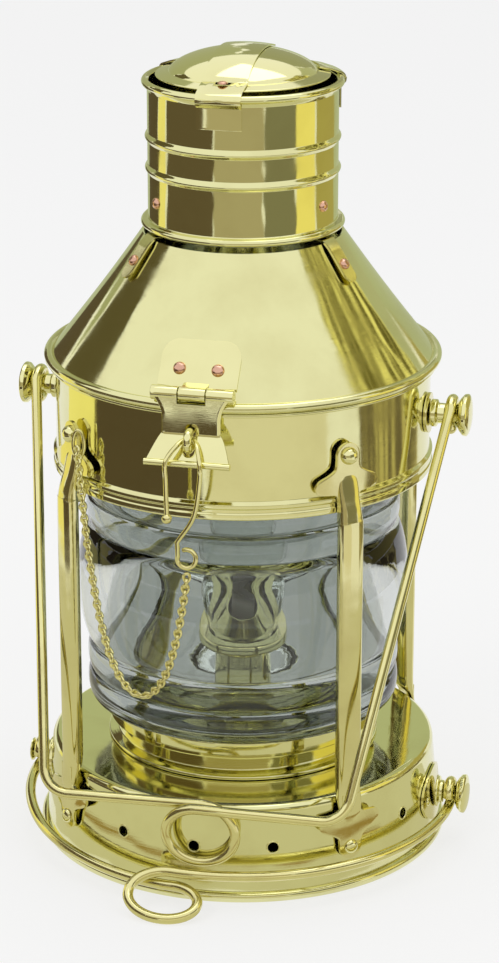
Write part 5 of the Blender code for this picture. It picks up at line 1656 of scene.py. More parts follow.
@dataclass
class HoodAssembly:
    """The conical hood, the chimney, the cap with its clips, the straps and their rivets."""

    finishes: Finishes
    flange_out: float = 0.0033
    bead_out: float = 0.0012
    bead_half_h: float = 0.0022
    bead_drop: float = 0.0255
    bead_step: float = 0.0147
    cap_t: float = 0.0008
    cap_r: float = CHIMNEY_R - SHEET - 0.0028
    cap_rise: float = 0.0033
    dome_rise: float = 0.0014
    dome_h: float = 0.0106
    clip_w: float = 0.0210
    back_clip_w: float = 0.0150
    clip_t: float = 0.0008
    clip_drop: float = 0.0140
    strap_azimuths: tuple[float, ...] = (-50.0, 70.0, 190.0)
    strap_w: float = 0.0090
    strap_t: float = 0.0010
    strap_lift: float = 0.0010
    strap_rivet_r: float = 0.0027
    strap_rivet_h: float = 0.0019

    def build_hood(self) -> Piece:
        """Spins the hood with its rolled rim.

        Returns:
            The hood.
        """
        inner_top = cone_point(HOOD_TOP_R, -SHEET)
        outline: Profile = []
        for index in range(25):
            radius = HOOD_TOP_R + (HOOD_EDGE_R - HOOD_TOP_R) * index / 24
            sag = 0.0006 * math.sin(math.pi * index / 24)
            outline.append(cone_point(radius, -sag))
        outline += arc((RIM_CENTRE_R, RIM_Z), RIM_ROLL_R, 118, -110, 20)
        outline += [(RIM_CENTRE_R - RIM_ROLL_R, RIM_Z - RIM_ROLL_R / 2)]
        outline += [cone_point(HOOD_EDGE_R - SHEET, -SHEET), (inner_top[0], HOOD_TOP_Z - 0.0004)]
        return spun("hood_cone", outline, 256)

    def bead(self, z: float) -> Profile:
        """Gives a rounded bead round the chimney, from top to bottom.

        Args:
            z: Its height.

        Returns:
            Its points.
        """
        points = []
        for index in range(13):
            share = index / 12
            out = math.sin(math.pi * share) ** 1.2
            points.append((CHIMNEY_R + self.bead_out * out, z + self.bead_half_h * (1 - 2 * share)))
        return points

    def build_chimney(self) -> Piece:
        """Spins the chimney with its rolled lip, two beads and its flange.

        Returns:
            The chimney.
        """
        lip = (CHIMNEY_LIP_R - CHIMNEY_ROLL_R, CHIMNEY_LIP_Z)
        flange = (CHIMNEY_R + self.flange_out - CHIMNEY_ROLL_R, FLANGE_Z)
        inner = CHIMNEY_R - SHEET
        outline = arc(lip, CHIMNEY_ROLL_R, 130, -95, 16)
        outline += [(CHIMNEY_R, CHIMNEY_LIP_Z - 2 * CHIMNEY_ROLL_R)]
        upper = CHIMNEY_LIP_Z - self.bead_drop
        outline += self.bead(upper) + self.bead(upper - self.bead_step)
        outline += [(CHIMNEY_R, FLANGE_Z + CHIMNEY_ROLL_R)]
        outline += arc(flange, CHIMNEY_ROLL_R, 75, -95, 14)
        outline += [(inner, FLANGE_Z - CHIMNEY_ROLL_R), (inner, CHIMNEY_LIP_Z + CHIMNEY_ROLL_R / 2)]
        return spun("chimney_tube", softened(outline, 0.0005, steps=3), 224)

    @property
    def dome_r(self) -> float:
        """Radius of the dome at its foot."""
        return self.cap_r - 0.0060

    def dome_z(self, radius: float) -> float:
        """Gives the height of the dome's outside at a radius."""
        share = max(1 - (radius / self.dome_r) ** 2, 0.0)
        return CHIMNEY_LIP_Z + self.cap_rise + self.dome_rise + self.dome_h * share ** 0.66

    def build_cap(self) -> Piece:
        """Spins the domed cap.

        Returns:
            The cap.
        """
        brim_z = CHIMNEY_LIP_Z + self.cap_rise
        outer: Profile = [(0, self.dome_z(0))]
        for index in range(1, 25):
            radius = self.dome_r * math.sin(math.pi / 2 * index / 24)
            outer.append((radius, self.dome_z(radius)))
        shrink = 1 - self.cap_t / self.dome_r
        inner = [(r * shrink, z - self.cap_t) for r, z in reversed(outer)]
        brim = [(self.cap_r, brim_z), (self.cap_r, brim_z - self.cap_t)]
        return spun("cap_dome", softened(outer + brim + inner, 0.0006, closed=False), 192, closed=False)

    def clip_route(self, over_dome: bool) -> Profile:
        """Gives a clip's middle (r, z), from its inner end over the chimney's lip to its foot.

        Args:
            over_dome: Whether it starts past the dome's top instead of on the brim.

        Returns:
            Its points. A negative r lies beyond the axis.
        """
        lift = GAP + self.clip_t / 2
        lip_r = CHIMNEY_LIP_R - CHIMNEY_ROLL_R
        reach = CHIMNEY_ROLL_R + lift
        brim_z = CHIMNEY_LIP_Z + self.cap_rise + lift
        wall = CHIMNEY_R + lift
        low = CHIMNEY_LIP_Z - self.clip_drop
        route: Profile = []
        if over_dome:
            for index in range(36):
                radius = self.dome_r * math.sin(math.pi / 2 * (index - 10) / 25)
                route.append((radius, self.dome_z(radius) + lift))
        else:
            route.append((self.cap_r - 0.0050, brim_z + self.dome_rise))
        route.append((self.cap_r, brim_z + GAP))
        route += arc((lip_r, CHIMNEY_LIP_Z), reach, 75, 0, 8)
        route += [(lip_r + reach - GAP, CHIMNEY_LIP_Z - CHIMNEY_ROLL_R)]
        route += [(wall, CHIMNEY_LIP_Z - 2 * CHIMNEY_ROLL_R - GAP)]
        count = 10
        start_z = route[-1][1]
        route += [(wall, start_z + (low - start_z) * step / count) for step in range(1, count + 1)]
        return softened(route, 0.0006, closed=False, steps=3)

    def build_clip(self, index: int, azimuth: float) -> Piece:
        """Bends a clip over the chimney's lip. The first one starts beyond the dome's top.

        Args:
            index: Its number.
            azimuth: Its place.

        Returns:
            The clip.
        """
        route = self.clip_route(index == 1)
        width = self.clip_w if index == 1 else self.back_clip_w
        rows = len(route) - 1

        def place(u: float, v: float) -> Vector:
            """Gives a point of the clip, bent to what lies under it."""
            r, z = route[min(rows, round(v * rows))]
            flat = u * width / 2
            if r > self.dome_r:
                bend = 0.35 if z < CHIMNEY_LIP_Z else 1.0
                return Vector((flat, -(r - bend * (r - math.sqrt(r * r - flat * flat))), z))
            fall = self.dome_z(r) - self.dome_z(math.hypot(r, flat))
            return Vector((flat, -r, z - fall))

        return moved(sheet("clip_%d" % index, rows, 14, self.clip_t, place), facing(azimuth))

    def build_strap(self, index: int, azimuth: float) -> Piece:
        """Bends a strap from inside the chimney out under its flange and down the cone.

        Args:
            index: Its number.
            azimuth: Its place.

        Returns:
            The strap.
        """
        inner = CHIMNEY_R - SHEET - GAP - self.strap_t / 2 - GAP
        under = (FLANGE_Z - CHIMNEY_ROLL_R + HOOD_TOP_Z) / 2
        lift = self.strap_lift + self.strap_t / 2
        start = cone_point(HOOD_TOP_R + 2 * self.strap_t, lift)
        end = cone_point(HOOD_TOP_R + 0.0130, lift)
        route: Profile = [
            (inner, FLANGE_Z + 0.0192),
            (inner, under + 2 * self.strap_t),
            (inner + self.strap_t / 2, under + self.strap_t / 2),
            (inner + 2 * self.strap_t, under),
            (HOOD_TOP_R, under),
            start,
        ]
        route = softened(route, 0.0012, closed=False, steps=4)[:-1]
        count = 14
        for step in range(count + 1):
            share = math.sin(math.pi / 2 * step / count)
            route.append((start[0] + (end[0] - start[0]) * share, start[1] + (end[1] - start[1]) * share))
        run = math.hypot(end[0] - start[0], end[1] - start[1])
        half = self.strap_w / 2
        rows = len(route) - 1

        def half_w(v: float) -> float:
            """Gives half the strap's width, round at its outer end."""
            r, z = route[min(rows, round(v * rows))]
            left = math.hypot(end[0] - r, end[1] - z)
            if r < start[0] or left > half or run < half:
                return half
            return math.sqrt(max(half * half - (half - left) ** 2, 0.0))

        return ribbon("strap_bar_%d" % index, route, self.strap_t, half_w, azimuth, 10)

    def build(self) -> None:
        """Builds and dresses all that stands on the hood."""
        metal = self.finishes
        install(self.build_hood(), metal.shell, "hood", body=Body.HOOD)
        install(self.build_chimney(), metal.shell, "chimney", body=Body.HOOD)
        install(self.build_cap(), metal.bright, "cap", body=Body.HOOD)
        brim_z = CHIMNEY_LIP_Z + self.cap_rise + self.dome_rise
        for index, azimuth in enumerate(self.strap_azimuths, 1):
            install(self.build_strap(index, azimuth), metal.cast, "strap_%d" % index, body=Body.HOOD)
            turn = (index - 1) * 120
            install(self.build_clip(index, turn), metal.bright, "cap_clip_%d" % index, body=Body.HOOD)
            place = cone_place(HOOD_TOP_R + 0.0075, self.strap_lift + self.strap_t, azimuth)
            low = rivet("cone_rivet_%d" % index, self.strap_rivet_r, self.strap_rivet_h, place)
            install(low, metal.copper, "strap_rivet_low_%d" % index, body=Body.HOOD, slot=Slot.COPPER)
            place = facing(azimuth) @ front_frame(CHIMNEY_R - 0.0001, FLANGE_Z + 0.0122)
            high = rivet("tube_rivet_%d" % index, self.strap_rivet_r, self.strap_rivet_h, place)
            install(high, metal.copper, "strap_rivet_high_%d" % index, body=Body.HOOD, slot=Slot.COPPER)
        place = Matrix.Translation((0, -(self.cap_r - 0.0027), brim_z + self.clip_t + GAP))
        head = rivet("clip_rivet", 0.0024, 0.0012, place)
        install(head, metal.copper, "cap_rivet", body=Body.HOOD, slot=Slot.COPPER)


@dataclass
class Hasp:
    """The hasp's plate, leaf, barrel and pin, and the staple under it."""

    finishes: Finishes
    pivot_y: float = RIM_CENTRE_R + 0.0009
    pivot_z: float = RIM_Z + 0.0062
    knuckle_r: float = 0.0033
    barrel_w: float = 0.0380
    middle_w: float = 0.0130
    pin_r: float = 0.0011
    plate_w: float = 0.0370
    plate_t: float = 0.0010
    plate_corner: float = 0.0090
    rivet_x: float = 0.0088
    leaf_t: float = 0.0011
    waist_half_w: float = 0.0135
    lip_half_w: float = 0.0195
    bend_drop: float = 0.0180
    lip_drop: float = 0.0112
    lip_out: float = 0.0078
    lip_roll_r: float = 0.0015
    lean: float = 0.0006
    staple_wire_r: float = 0.0019
    staple_plate_w: float = 0.0180
    staple_plate_h: float = 0.0220
    staple_plate_t: float = 0.0013

    def build_plate(self) -> Piece:
        """Bends the plate onto the cone and rolls its middle knuckle.

        Returns:
            The plate.
        """
        top_r = HOOD_EDGE_R - 0.0175
        low_r = HOOD_EDGE_R - 0.0038
        rise = (low_r - top_r) * CONE_LEN / CONE_RUN
        lift = 2 * GAP + self.plate_t / 2

        def place(u: float, v: float) -> Vector:
            """Gives a point of the plate."""
            from_top = rise * v ** 1.8
            half = self.plate_w / 2
            if from_top < self.plate_corner:
                in_corner = self.plate_corner - from_top
                half -= self.plate_corner - math.sqrt(self.plate_corner ** 2 - in_corner ** 2)
            r, z = cone_point(top_r + (low_r - top_r) * from_top / rise, lift)
            return polar(r, math.degrees(u * half / r), z)

        plate = sheet("plate", 30, 20, self.plate_t, place)
        low = cone_point(low_r - 0.0012, lift - 0.0001)
        route = softened([low, (self.pivot_y - 0.0010, self.pivot_z + self.knuckle_r * 0.55),
                          (self.pivot_y, self.pivot_z + self.knuckle_r * 0.85)], 0.002, closed=False)
        half = self.middle_w / 2 - GAP
        tab = ribbon("tab", route, 0.0012, lambda share: half - GAP)
        bore = self.pin_r + GAP
        knuckle = tube_x("knuckle", self.knuckle_r, bore, -half, half, -self.pivot_y, self.pivot_z)
        return joined("hasp_back_plate", [plate, tab, knuckle])

    def leaf_station(self, share: float) -> tuple[float, float, float]:
        """Gives a place (y, z) and half the width of the leaf.

        Args:
            share: From 0 at its barrel to 1 at its lip.

        Returns:
            y, z and half the width.
        """
        drop = (self.bend_drop + self.lip_drop) * share
        out = self.lean * share
        if drop > self.bend_drop:
            out += self.lip_out * ((drop - self.bend_drop) / self.lip_drop) ** 1.3
        top_half = self.barrel_w / 2 - 0.0004
        waist = math.sin(math.pi * min(1.0, share * 1.35)) ** 0.8 if share < 0.74 else 0.0
        if share < 0.37:
            half = top_half + (self.waist_half_w - top_half) * waist
        else:
            flare = max(0.0, (share - 0.60) / 0.40)
            half = self.waist_half_w + (self.lip_half_w - self.waist_half_w) * flare ** 0.8
        return -(self.pivot_y + self.knuckle_r - self.leaf_t / 2 - GAP + out), self.pivot_z - drop, half

    def build_leaf(self) -> Piece:
        """Bends the leaf, cuts its slot, rolls its lip and adds its outer knuckles.

        Returns:
            The leaf.
        """
        def place(u: float, v: float) -> Vector:
            """Gives a point of the leaf."""
            y, z, half = self.leaf_station(v)
            return Vector((u * half, y, z))

        leaf = sheet("leaf", 44, 14, self.leaf_t, place)
        half_h = STAPLE_HALF_H + self.staple_wire_r + 0.0011
        half_w = self.staple_wire_r + 0.0008
        depth = 0.04
        bm = box((2 * half_w, depth, 2 * half_h), Matrix.Translation((0, -self.pivot_y, STAPLE_Z)))
        upright = [edge for edge in bm.edges if abs(edge.verts[0].co.y - edge.verts[1].co.y) > 0.01]
        bmesh.ops.bevel(bm, geom=upright, offset=half_w * 0.9, segments=6, profile=0.5, affect="EDGES",
                        material=-1)
        notch = self.middle_w / 2 + GAP / 2
        notch_h = 2 * (self.knuckle_r + 2 * GAP)
        bay = box((2 * notch, depth, notch_h), Matrix.Translation((0, -self.pivot_y, self.pivot_z)))
        leaf = cut(leaf, [mesh_piece("slot", bm), mesh_piece("bay", bay)])
        y, z, half = self.leaf_station(1.0)
        lip = tube_x("lip", self.lip_roll_r, 0, -half - GAP, half + GAP, y, z)
        parts = [leaf, lip]
        bore = self.pin_r + GAP
        for low, high in ((-self.barrel_w / 2, -notch), (notch, self.barrel_w / 2)):
            parts.append(tube_x("knuckle", self.knuckle_r, bore, low, high, -self.pivot_y, self.pivot_z))
        return joined("hasp_front_leaf", parts)

    def build_staple_plate(self) -> Piece:
        """Bends the staple's plate with rounded corners.

        Returns:
            The plate.
        """
        top = DRUM_TOP_Z - DRUM_LIP_T - GAP
        radius = DRUM_R + GAP + self.staple_plate_t / 2

        def place(u: float, v: float) -> Vector:
            """Gives a point of the plate."""
            half = self.staple_plate_w / 2
            return polar(radius, math.degrees(u * half / radius), top - self.staple_plate_h * v)

        return sheet("staple_back_plate", 10, 10, self.staple_plate_t, place)

    def build_staple(self) -> Piece:
        """Bends the staple's wire.

        Returns:
            The staple.
        """
        root = -(DRUM_R + self.staple_plate_t + GAP)
        bend_y = -(STAPLE_REACH - STAPLE_HALF_H)
        bend = [Vector((0, y, z)) for y, z in arc((bend_y, STAPLE_Z), STAPLE_HALF_H, 90, 270, 24)]
        points = [Vector((0, root, bend[0].z))] + bend + [Vector((0, root, bend[-1].z))]
        return wire("staple_loop", points, self.staple_wire_r)

    def build(self) -> None:
        """Builds and dresses the hasp and the staple."""
        metal = self.finishes
        install(self.build_plate(), metal.bright, "hasp_plate", body=Body.HOOD)
        cone_r = HOOD_EDGE_R - 0.0090
        for side in Side:
            azimuth = math.degrees(math.asin(side.value * self.rivet_x / math.hypot(cone_r, self.rivet_x)))
            place = cone_place(cone_r, 2 * GAP + self.plate_t, azimuth)
            word = side.name.lower()
            head = rivet("hasp_head_" + word, 0.0030, 0.0021, place)
            install(head, metal.copper, "hasp_rivet_" + word, body=Body.HOOD, slot=Slot.COPPER)
        half = self.barrel_w / 2
        pin = tube_x("hasp_axle", self.pin_r, 0, -half, half, -self.pivot_y, self.pivot_z)
        install(pin, metal.bright, "hasp_pin", body=Body.HOOD)
        install(self.build_leaf(), metal.bright, "hasp_leaf", body=Body.HASP)
        install(self.build_staple_plate(), metal.cast, "staple_plate")
        install(self.build_staple(), metal.bright, "staple")


@dataclass
class LockAndChain:
    """The wire pin through the staple, and the chain that keeps it."""

    finishes: Finishes
    wire_r: float = 0.0011
    ball_r: float = 0.0024
    out_y: float = STAPLE_REACH + 0.0046
    leg_left_x: float = -0.0088
    leg_right_x: float = 0.0069
    ball_z: float = STAPLE_Z - 0.0345
    ring_x: float = 0.0005
    ring_z: float = STAPLE_Z - 0.0535
    ring_r: float = 0.0041
    chain_r: float = 0.0020
    chain_len: float = 0.2020
    chain_points: int = 22
    top_azimuth: float = -38.0
    top_r: float = GUARD_IN_R + 0.0055
    top_z: float = LUG_EYE_Z - 0.0030
    link_pitch: float = 0.0029
    link_half_len: float = 0.0029
    link_half_w: float = 0.0022
    link_wire_r: float = 0.00076

    def chain_route(self) -> list[Vector]:
        """Works out how the chain hangs between the pin's ring and its upper link.

        Returns:
            Points from the ring to the upper link.
        """
        pitch = 2 * self.wire_r + 0.0005
        ring_low = self.ring_z - self.ring_r - self.wire_r - self.chain_r - GAP
        start = Vector((self.ring_x, -self.out_y + pitch / 2, ring_low))
        end = polar(self.top_r, self.top_azimuth, self.top_z)
        level = Vector((end.x - start.x, end.y - start.y, 0))
        span = level.length
        rise = end.z - start.z
        slack = math.sqrt(self.chain_len ** 2 - rise ** 2)
        low, high = span / 40, span * 40
        for _ in range(60):
            scale = (low + high) / 2
            if 2 * scale * math.sinh(span / 2 / scale) > slack:
                low = scale
            else:
                high = scale
        lowest = span / 2 - scale * math.atanh(rise / self.chain_len)
        base = start.z - scale * math.cosh(-lowest / scale)
        half_length = scale * math.sinh(-lowest / scale)
        points = []
        for index in range(self.chain_points + 1):
            length = self.chain_len * index / self.chain_points
            along = lowest + scale * math.asinh((half_length + length) / scale)
            point = start + level * (along / span)
            point.z = base + scale * math.cosh((along - lowest) / scale)
            points.append(point)
        return points

    def one_link(self) -> bmesh.types.BMesh:
        """Makes one twisted link that lies along Z.

        Returns:
            Its mesh.
        """
        bm = bmesh.new()
        place = Matrix.Translation((1, 0, 0)) @ Matrix.Rotation(math.pi / 2, 4, "X")
        ring = bmesh.ops.create_circle(bm, radius=self.link_wire_r, segments=7, matrix=place)
        geom = ring["verts"] + list(bm.edges)
        bmesh.ops.spin(bm, geom=geom, cent=(0, 0, 0), axis=(0, 0, 1), angle=math.tau, steps=16,
                       use_merge=True, use_duplicate=False)
        for vert in bm.verts:
            angle = math.atan2(vert.co.y, vert.co.x)
            out = math.hypot(vert.co.x, vert.co.y) - 1
            across = (self.link_half_w - self.link_wire_r + out) * math.cos(angle)
            along = (self.link_half_len - self.link_wire_r + out) * math.sin(angle)
            twist = math.radians(38) * along / self.link_half_len
            turned = Matrix.Rotation(twist, 3, "Z") @ Vector((across, vert.co.z, 0))
            vert.co = Vector((turned.x, turned.y, along))
        return bm

    def build_chain(self) -> tuple[Piece, list[Vector]]:
        """Threads the links along the hanging route.

        Returns:
            The chain and its route, from the upper link to the ring.
        """
        route = list(reversed(self.chain_route()))
        dense = smooth_route(route, 24)
        lengths = [0.0]
        for before, after in zip(dense, dense[1:]):
            lengths.append(lengths[-1] + (after - before).length)
        count = int(lengths[-1] / self.link_pitch)
        link = bpy.data.meshes.new("link")
        single = self.one_link()
        single.to_mesh(link)
        single.free()
        bm = bmesh.new()
        side = Vector((0, 1, 0))
        at = 0
        for index in range(count):
            wanted = lengths[-1] * (index + 0.5) / count
            while lengths[at + 1] < wanted:
                at += 1
            share = (wanted - lengths[at]) / (lengths[at + 1] - lengths[at])
            place = dense[at].lerp(dense[at + 1], share)
            ahead = (dense[at + 1] - dense[at]).normalized()
            side = (side - ahead * side.dot(ahead)).normalized()
            other = ahead.cross(side)
            roll = math.radians(48 if index % 2 else -42)
            across = side * math.cos(roll) + other * math.sin(roll)
            up = ahead.cross(across)
            frame = Matrix((across, up, ahead)).transposed().to_4x4()
            frame.translation = place
            start = len(bm.verts)
            bm.from_mesh(link)
            bm.verts.ensure_lookup_table()
            bmesh.ops.transform(bm, matrix=frame, verts=bm.verts[start:])
        bpy.data.meshes.remove(link)
        return mesh_piece("lock_chain_links", bm, 60), route

    def build_hanger(self) -> Piece:
        """Bends the oval link that hangs the chain from its lug.

        Returns:
            The link.
        """
        top = polar(self.top_r - 0.0022, self.top_azimuth - 1.2, self.top_z + 0.0050)
        out = polar(1, self.top_azimuth, 0)
        across = Vector((out.y, -out.x, 0)) * 0.6 + out * 0.5
        points = []
        for index in range(41):
            angle = math.tau * index / 40
            fall = Vector((0, 0, 0.0066 * (math.cos(angle) - 0.62)))
            points.append(top + across * (0.0034 * math.sin(angle)) + fall)
        return wire("chain_hanger", points, 0.0009, 4)

    def build_pin(self) -> Piece:
        """Bends the pin's wire, with the ball at one end and the ring at the other.

        Returns:
            The pin.
        """
        out = -self.out_y
        eye_y = -(STAPLE_REACH - STAPLE_HALF_H)
        top = STAPLE_Z + GAP
        middle_z = (self.ball_z + top) / 2
        shoulder_z = STAPLE_Z - 2 * STAPLE_HALF_H
        knee_z = STAPLE_Z - STAPLE_HALF_H / 2
        knee_y = (out + eye_y) / 2
        grip = STAPLE_HALF_H / 2
        route = [
            Vector((self.leg_left_x + SHEET / 2, out, self.ball_z)),
            Vector((self.leg_left_x, out, middle_z)),
            Vector((self.leg_left_x, out, shoulder_z)),
            Vector((self.leg_left_x * 0.60, knee_y, knee_z)),
            Vector((-grip, eye_y, top)),
            Vector((grip, eye_y, top)),
            Vector((self.leg_right_x * 0.70, knee_y, knee_z)),
            Vector((self.leg_right_x, out, shoulder_z)),
            Vector((self.leg_right_x, out, middle_z + STAPLE_HALF_H / 2)),
            Vector((self.leg_right_x * 0.60, out, self.ball_z + STAPLE_HALF_H / 2)),
            Vector((self.ring_x - self.ring_r, out, self.ring_z + 2 * self.ring_r)),
        ]
        points = smooth_route(route, 8)
        pitch = 2 * self.wire_r + 0.0005
        for index in range(1, 41):
            angle = math.radians(150 + 330 * index / 40)
            points.append(Vector((
                self.ring_x + self.ring_r * math.cos(angle),
                out + pitch * index / 40,
                self.ring_z + self.ring_r * math.sin(angle),
            )))
        pin = wire("pin", points, self.wire_r, 5)
        bm = bmesh.new()
        bmesh.ops.create_uvsphere(bm, u_segments=24, v_segments=16, radius=self.ball_r)
        bm.transform(Matrix.Translation(route[0]))
        return joined("lock_pin_wire", [pin, mesh_piece("ball", bm)], 60)

    def build_cord(self) -> None:
        chain, route = self.build_chain()
        install(chain, self.finishes.wire, "lock_chain")
        hanger = install(self.build_hanger(), self.finishes.wire)
        tuple(route[0])
        [tuple(point) for point in route]

    def build(self) -> None:
        """Builds and dresses the pin."""
        install(self.build_pin(), self.finishes.wire, "lock_pin")


@dataclass
class Bails:
    """The two wire bails."""

    finishes: Finishes
    cross_x: float = BAIL_X - 0.0290
    cross_y: float = SKIRT_TOP_R + 0.0033
    cross_z: float = BASE_H - 0.0005
    corner_r: float = 0.0130
    loop_x: float = 0.0045
    loop_half_w: float = 0.0163
    loop_rise: float = 0.0023
    loop_fall: float = 0.0258
    loop_run: float = 0.0180
    eye_turn: float = 275.0
    low_bow_r: float = BASE_R + 0.0065
    low_blend: float = 50.0
    low_loop_x: float = -0.0098
    low_loop_half_w: float = 0.0165
    low_loop_len: float = 0.0220

    def eye(self, centre: Vector, radius: float, start: float, end: float, count: int = 44) -> list[Vector]:
        """Gives points round a stud, across X.

        Args:
            centre: Middle of the eye.
            radius: Its radius.
            start: First angle in degrees from +Y towards +Z.
            end: Last angle.
            count: Its parts.

        Returns:
            The points.
        """
        points = []
        for index in range(count + 1):
            angle = math.radians(start + (end - start) * index / count)
            points.append(centre + Vector((0, radius * math.cos(angle), radius * math.sin(angle))))
        return points

    def main_side(self, side: Side) -> list[Vector]:
        """Gives half of the main bail, from its cut end round the knob.

        Args:
            side: Which side.

        Returns:
            The points.
        """
        eye_r = KNOB_NECK_R + WIRE_R + GAP
        centre = Vector((side.value * BAIL_X, 0, PIVOT_Z))
        drop = Vector((0, -self.cross_y, self.cross_z - PIVOT_Z))
        leave = math.degrees(math.atan2(drop.z, drop.y) + math.asin(eye_r / drop.length)) - 90
        return self.eye(centre, eye_r, leave - self.eye_turn, leave)

    def build_main(self) -> Piece:
        """Bends the main bail with its round loop.

        Returns:
            The bail.
        """
        left = self.main_side(Side.LEFT)
        right = self.main_side(Side.RIGHT)
        corner_left = Vector((-self.cross_x, -self.cross_y, self.cross_z))
        corner_right = Vector((self.cross_x, -self.cross_y, self.cross_z))
        half_h = (self.loop_rise + self.loop_fall) / 2
        pitch = 2 * WIRE_R + 0.0008
        loop = []
        turns = 72
        for index in range(turns + 1):
            angle = math.radians(90 - 360 * index / turns)
            loop.append(Vector((
                self.loop_x + self.loop_half_w * math.cos(angle),
                -self.cross_y - pitch * index / turns,
                self.cross_z - self.loop_fall + half_h + half_h * math.sin(angle),
            )))
        run = loop[-1] + Vector((self.loop_run, 0, 0))
        points = left + fillet(left[-1], corner_left, loop[0], self.corner_r) + loop + [run]
        points += fillet(run, corner_right, right[-1], self.corner_r) + list(reversed(right))
        return wire("bail_wire_high", points, WIRE_R)

    def bow(self, start: float, end: float, start_z: float, end_z: float, count: int) -> list[Vector]:
        """Gives the lower bail's bow between two azimuths, drawn in towards its pivots.

        Args:
            start: First azimuth.
            end: Last azimuth.
            start_z: First height.
            end_z: Last height.
            count: Its parts.

        Returns:
            The points.
        """
        points = []
        for index in range(count + 1):
            share = index / count
            azimuth = start + (end - start) * share
            blend = min(1.0, (90 - abs(azimuth)) / (90 - self.low_blend))
            ease = share * share * (3 - 2 * share)
            radius = LOW_BAIL_X + (self.low_bow_r - LOW_BAIL_X) * blend
            points.append(polar(radius, azimuth, start_z + (end_z - start_z) * ease))
        return points

    def build_low(self) -> Piece:
        """Bends the lower bail with its loop.

        Returns:
            The bail.
        """
        eye_r = LOW_NECK_R + WIRE_R + GAP
        pitch = 2 * WIRE_R + 0.0022
        wire_z = LOW_PIVOT_Z - eye_r
        loop_azimuth = math.degrees(math.asin(self.low_loop_x / self.low_bow_r))
        right_eye = self.eye(Vector((LOW_BAIL_X, 0, LOW_PIVOT_Z)), eye_r, self.eye_turn - 90, -90)
        left_eye = self.eye(Vector((-LOW_BAIL_X, 0, LOW_PIVOT_Z)), eye_r, self.eye_turn - 90, -90)
        right_bow = self.bow(90, loop_azimuth, wire_z, wire_z, 66)
        left_bow = self.bow(-90, loop_azimuth, wire_z, wire_z - pitch, 54)
        back = right_bow[-1]
        dip = math.asin((wire_z - pitch / 2 - WIRE_R) / self.low_loop_len)
        loop = []
        turns = 72
        for index in range(1, turns):
            angle = math.radians(-90 - 360 * index / turns)
            reach = self.low_loop_len / 2 * (1 + math.sin(angle))
            loop.append(Vector((
                self.low_loop_x + self.low_loop_half_w * math.cos(angle),
                back.y - reach * math.cos(dip),
                wire_z - pitch * index / turns - reach * math.sin(dip),
            )))
        points = right_eye[:-1] + right_bow + loop + list(reversed(left_bow)) + list(reversed(left_eye[:-1]))
        return wire("bail_wire_low", points, WIRE_R)

    def build(self) -> None:
        """Builds and dresses the bails."""
        install(self.build_main(), self.finishes.wire, "main_bail", body=Body.MAIN_BAIL)
        install(self.build_low(), self.finishes.wire, "lower_bail", body=Body.LOWER_BAIL)


@dataclass
class HoodHinge:
    """The hinge at the back that the hood turns on."""

    finishes: Finishes
    knuckle_r: float = 0.0026
    pin_r: float = 0.0011
    barrel_w: float = 0.0260
    middle_w: float = 0.0090
    leaf_lift: float = 0.0008

    @property
    def pivot_y(self) -> float:
        """Distance of the hinge's axis behind the lamp's."""
        return RIM_CENTRE_R + RIM_ROLL_R + self.knuckle_r + 0.0018

    @property
    def pivot_z(self) -> float:
        """Height of the hinge's axis."""
        return RIM_Z + 0.0015

    def build_hood_leaf(self) -> Piece:
        """Bends the hood's leaf and its middle knuckle.

        Returns:
            The leaf.
        """
        lift = self.leaf_lift + SHEET / 2
        top = self.pivot_z + self.knuckle_r - SHEET / 2
        route = [cone_point(HOOD_EDGE_R - 0.0180, lift), cone_point(HOOD_EDGE_R - 4 * SHEET, lift),
                 (RIM_CENTRE_R, top + SHEET), (self.pivot_y, top)]
        half = self.middle_w / 2 - GAP
        leaf = ribbon("leaf", softened(route, 0.003, closed=False), SHEET, lambda share: half - GAP, 180)
        bore = self.pin_r + GAP
        knuckle = tube_x("knuckle", self.knuckle_r, bore, -half, half, self.pivot_y, self.pivot_z)
        return joined("hinge_leaf_high", [leaf, knuckle])

    def build_drum_leaf(self) -> Piece:
        """Bends the drum's leaf and its two outer knuckles.

        Returns:
            The leaf.
        """
        wall = DRUM_R + 3 * GAP + SHEET / 2
        shelf = DRUM_TOP_Z - 0.0038
        outer = self.pivot_y + self.knuckle_r - SHEET / 2
        route = [(wall, DRUM_TOP_Z - 0.0203), (wall, shelf - SHEET), (wall + SHEET, shelf),
                 (self.pivot_y - SHEET, shelf), (outer, self.pivot_z - self.knuckle_r),
                 (outer, self.pivot_z - self.knuckle_r * 0.4)]
        half = self.barrel_w / 2
        notch = self.middle_w / 2
        leaf = ribbon("leaf", softened(route, 0.002, closed=False), SHEET, lambda share: half - GAP, 180)
        parts = [leaf]
        bore = self.pin_r + GAP
        for low, high in ((-half, -notch), (notch, half)):
            parts.append(tube_x("knuckle", self.knuckle_r, bore, low, high, self.pivot_y, self.pivot_z))
        return joined("hinge_leaf_low", parts)

    def build(self) -> None:
        """Builds and dresses the hinge."""
        metal = self.finishes
        install(self.build_hood_leaf(), metal.cast, "hood_leaf", body=Body.HOOD)
        install(self.build_drum_leaf(), metal.cast, "drum_leaf")
        half = self.barrel_w / 2
        pin = tube_x("hinge_axle", self.pin_r, 0, -half, half, self.pivot_y, self.pivot_z)
        install(pin, metal.bright, "hood_hinge_pin")


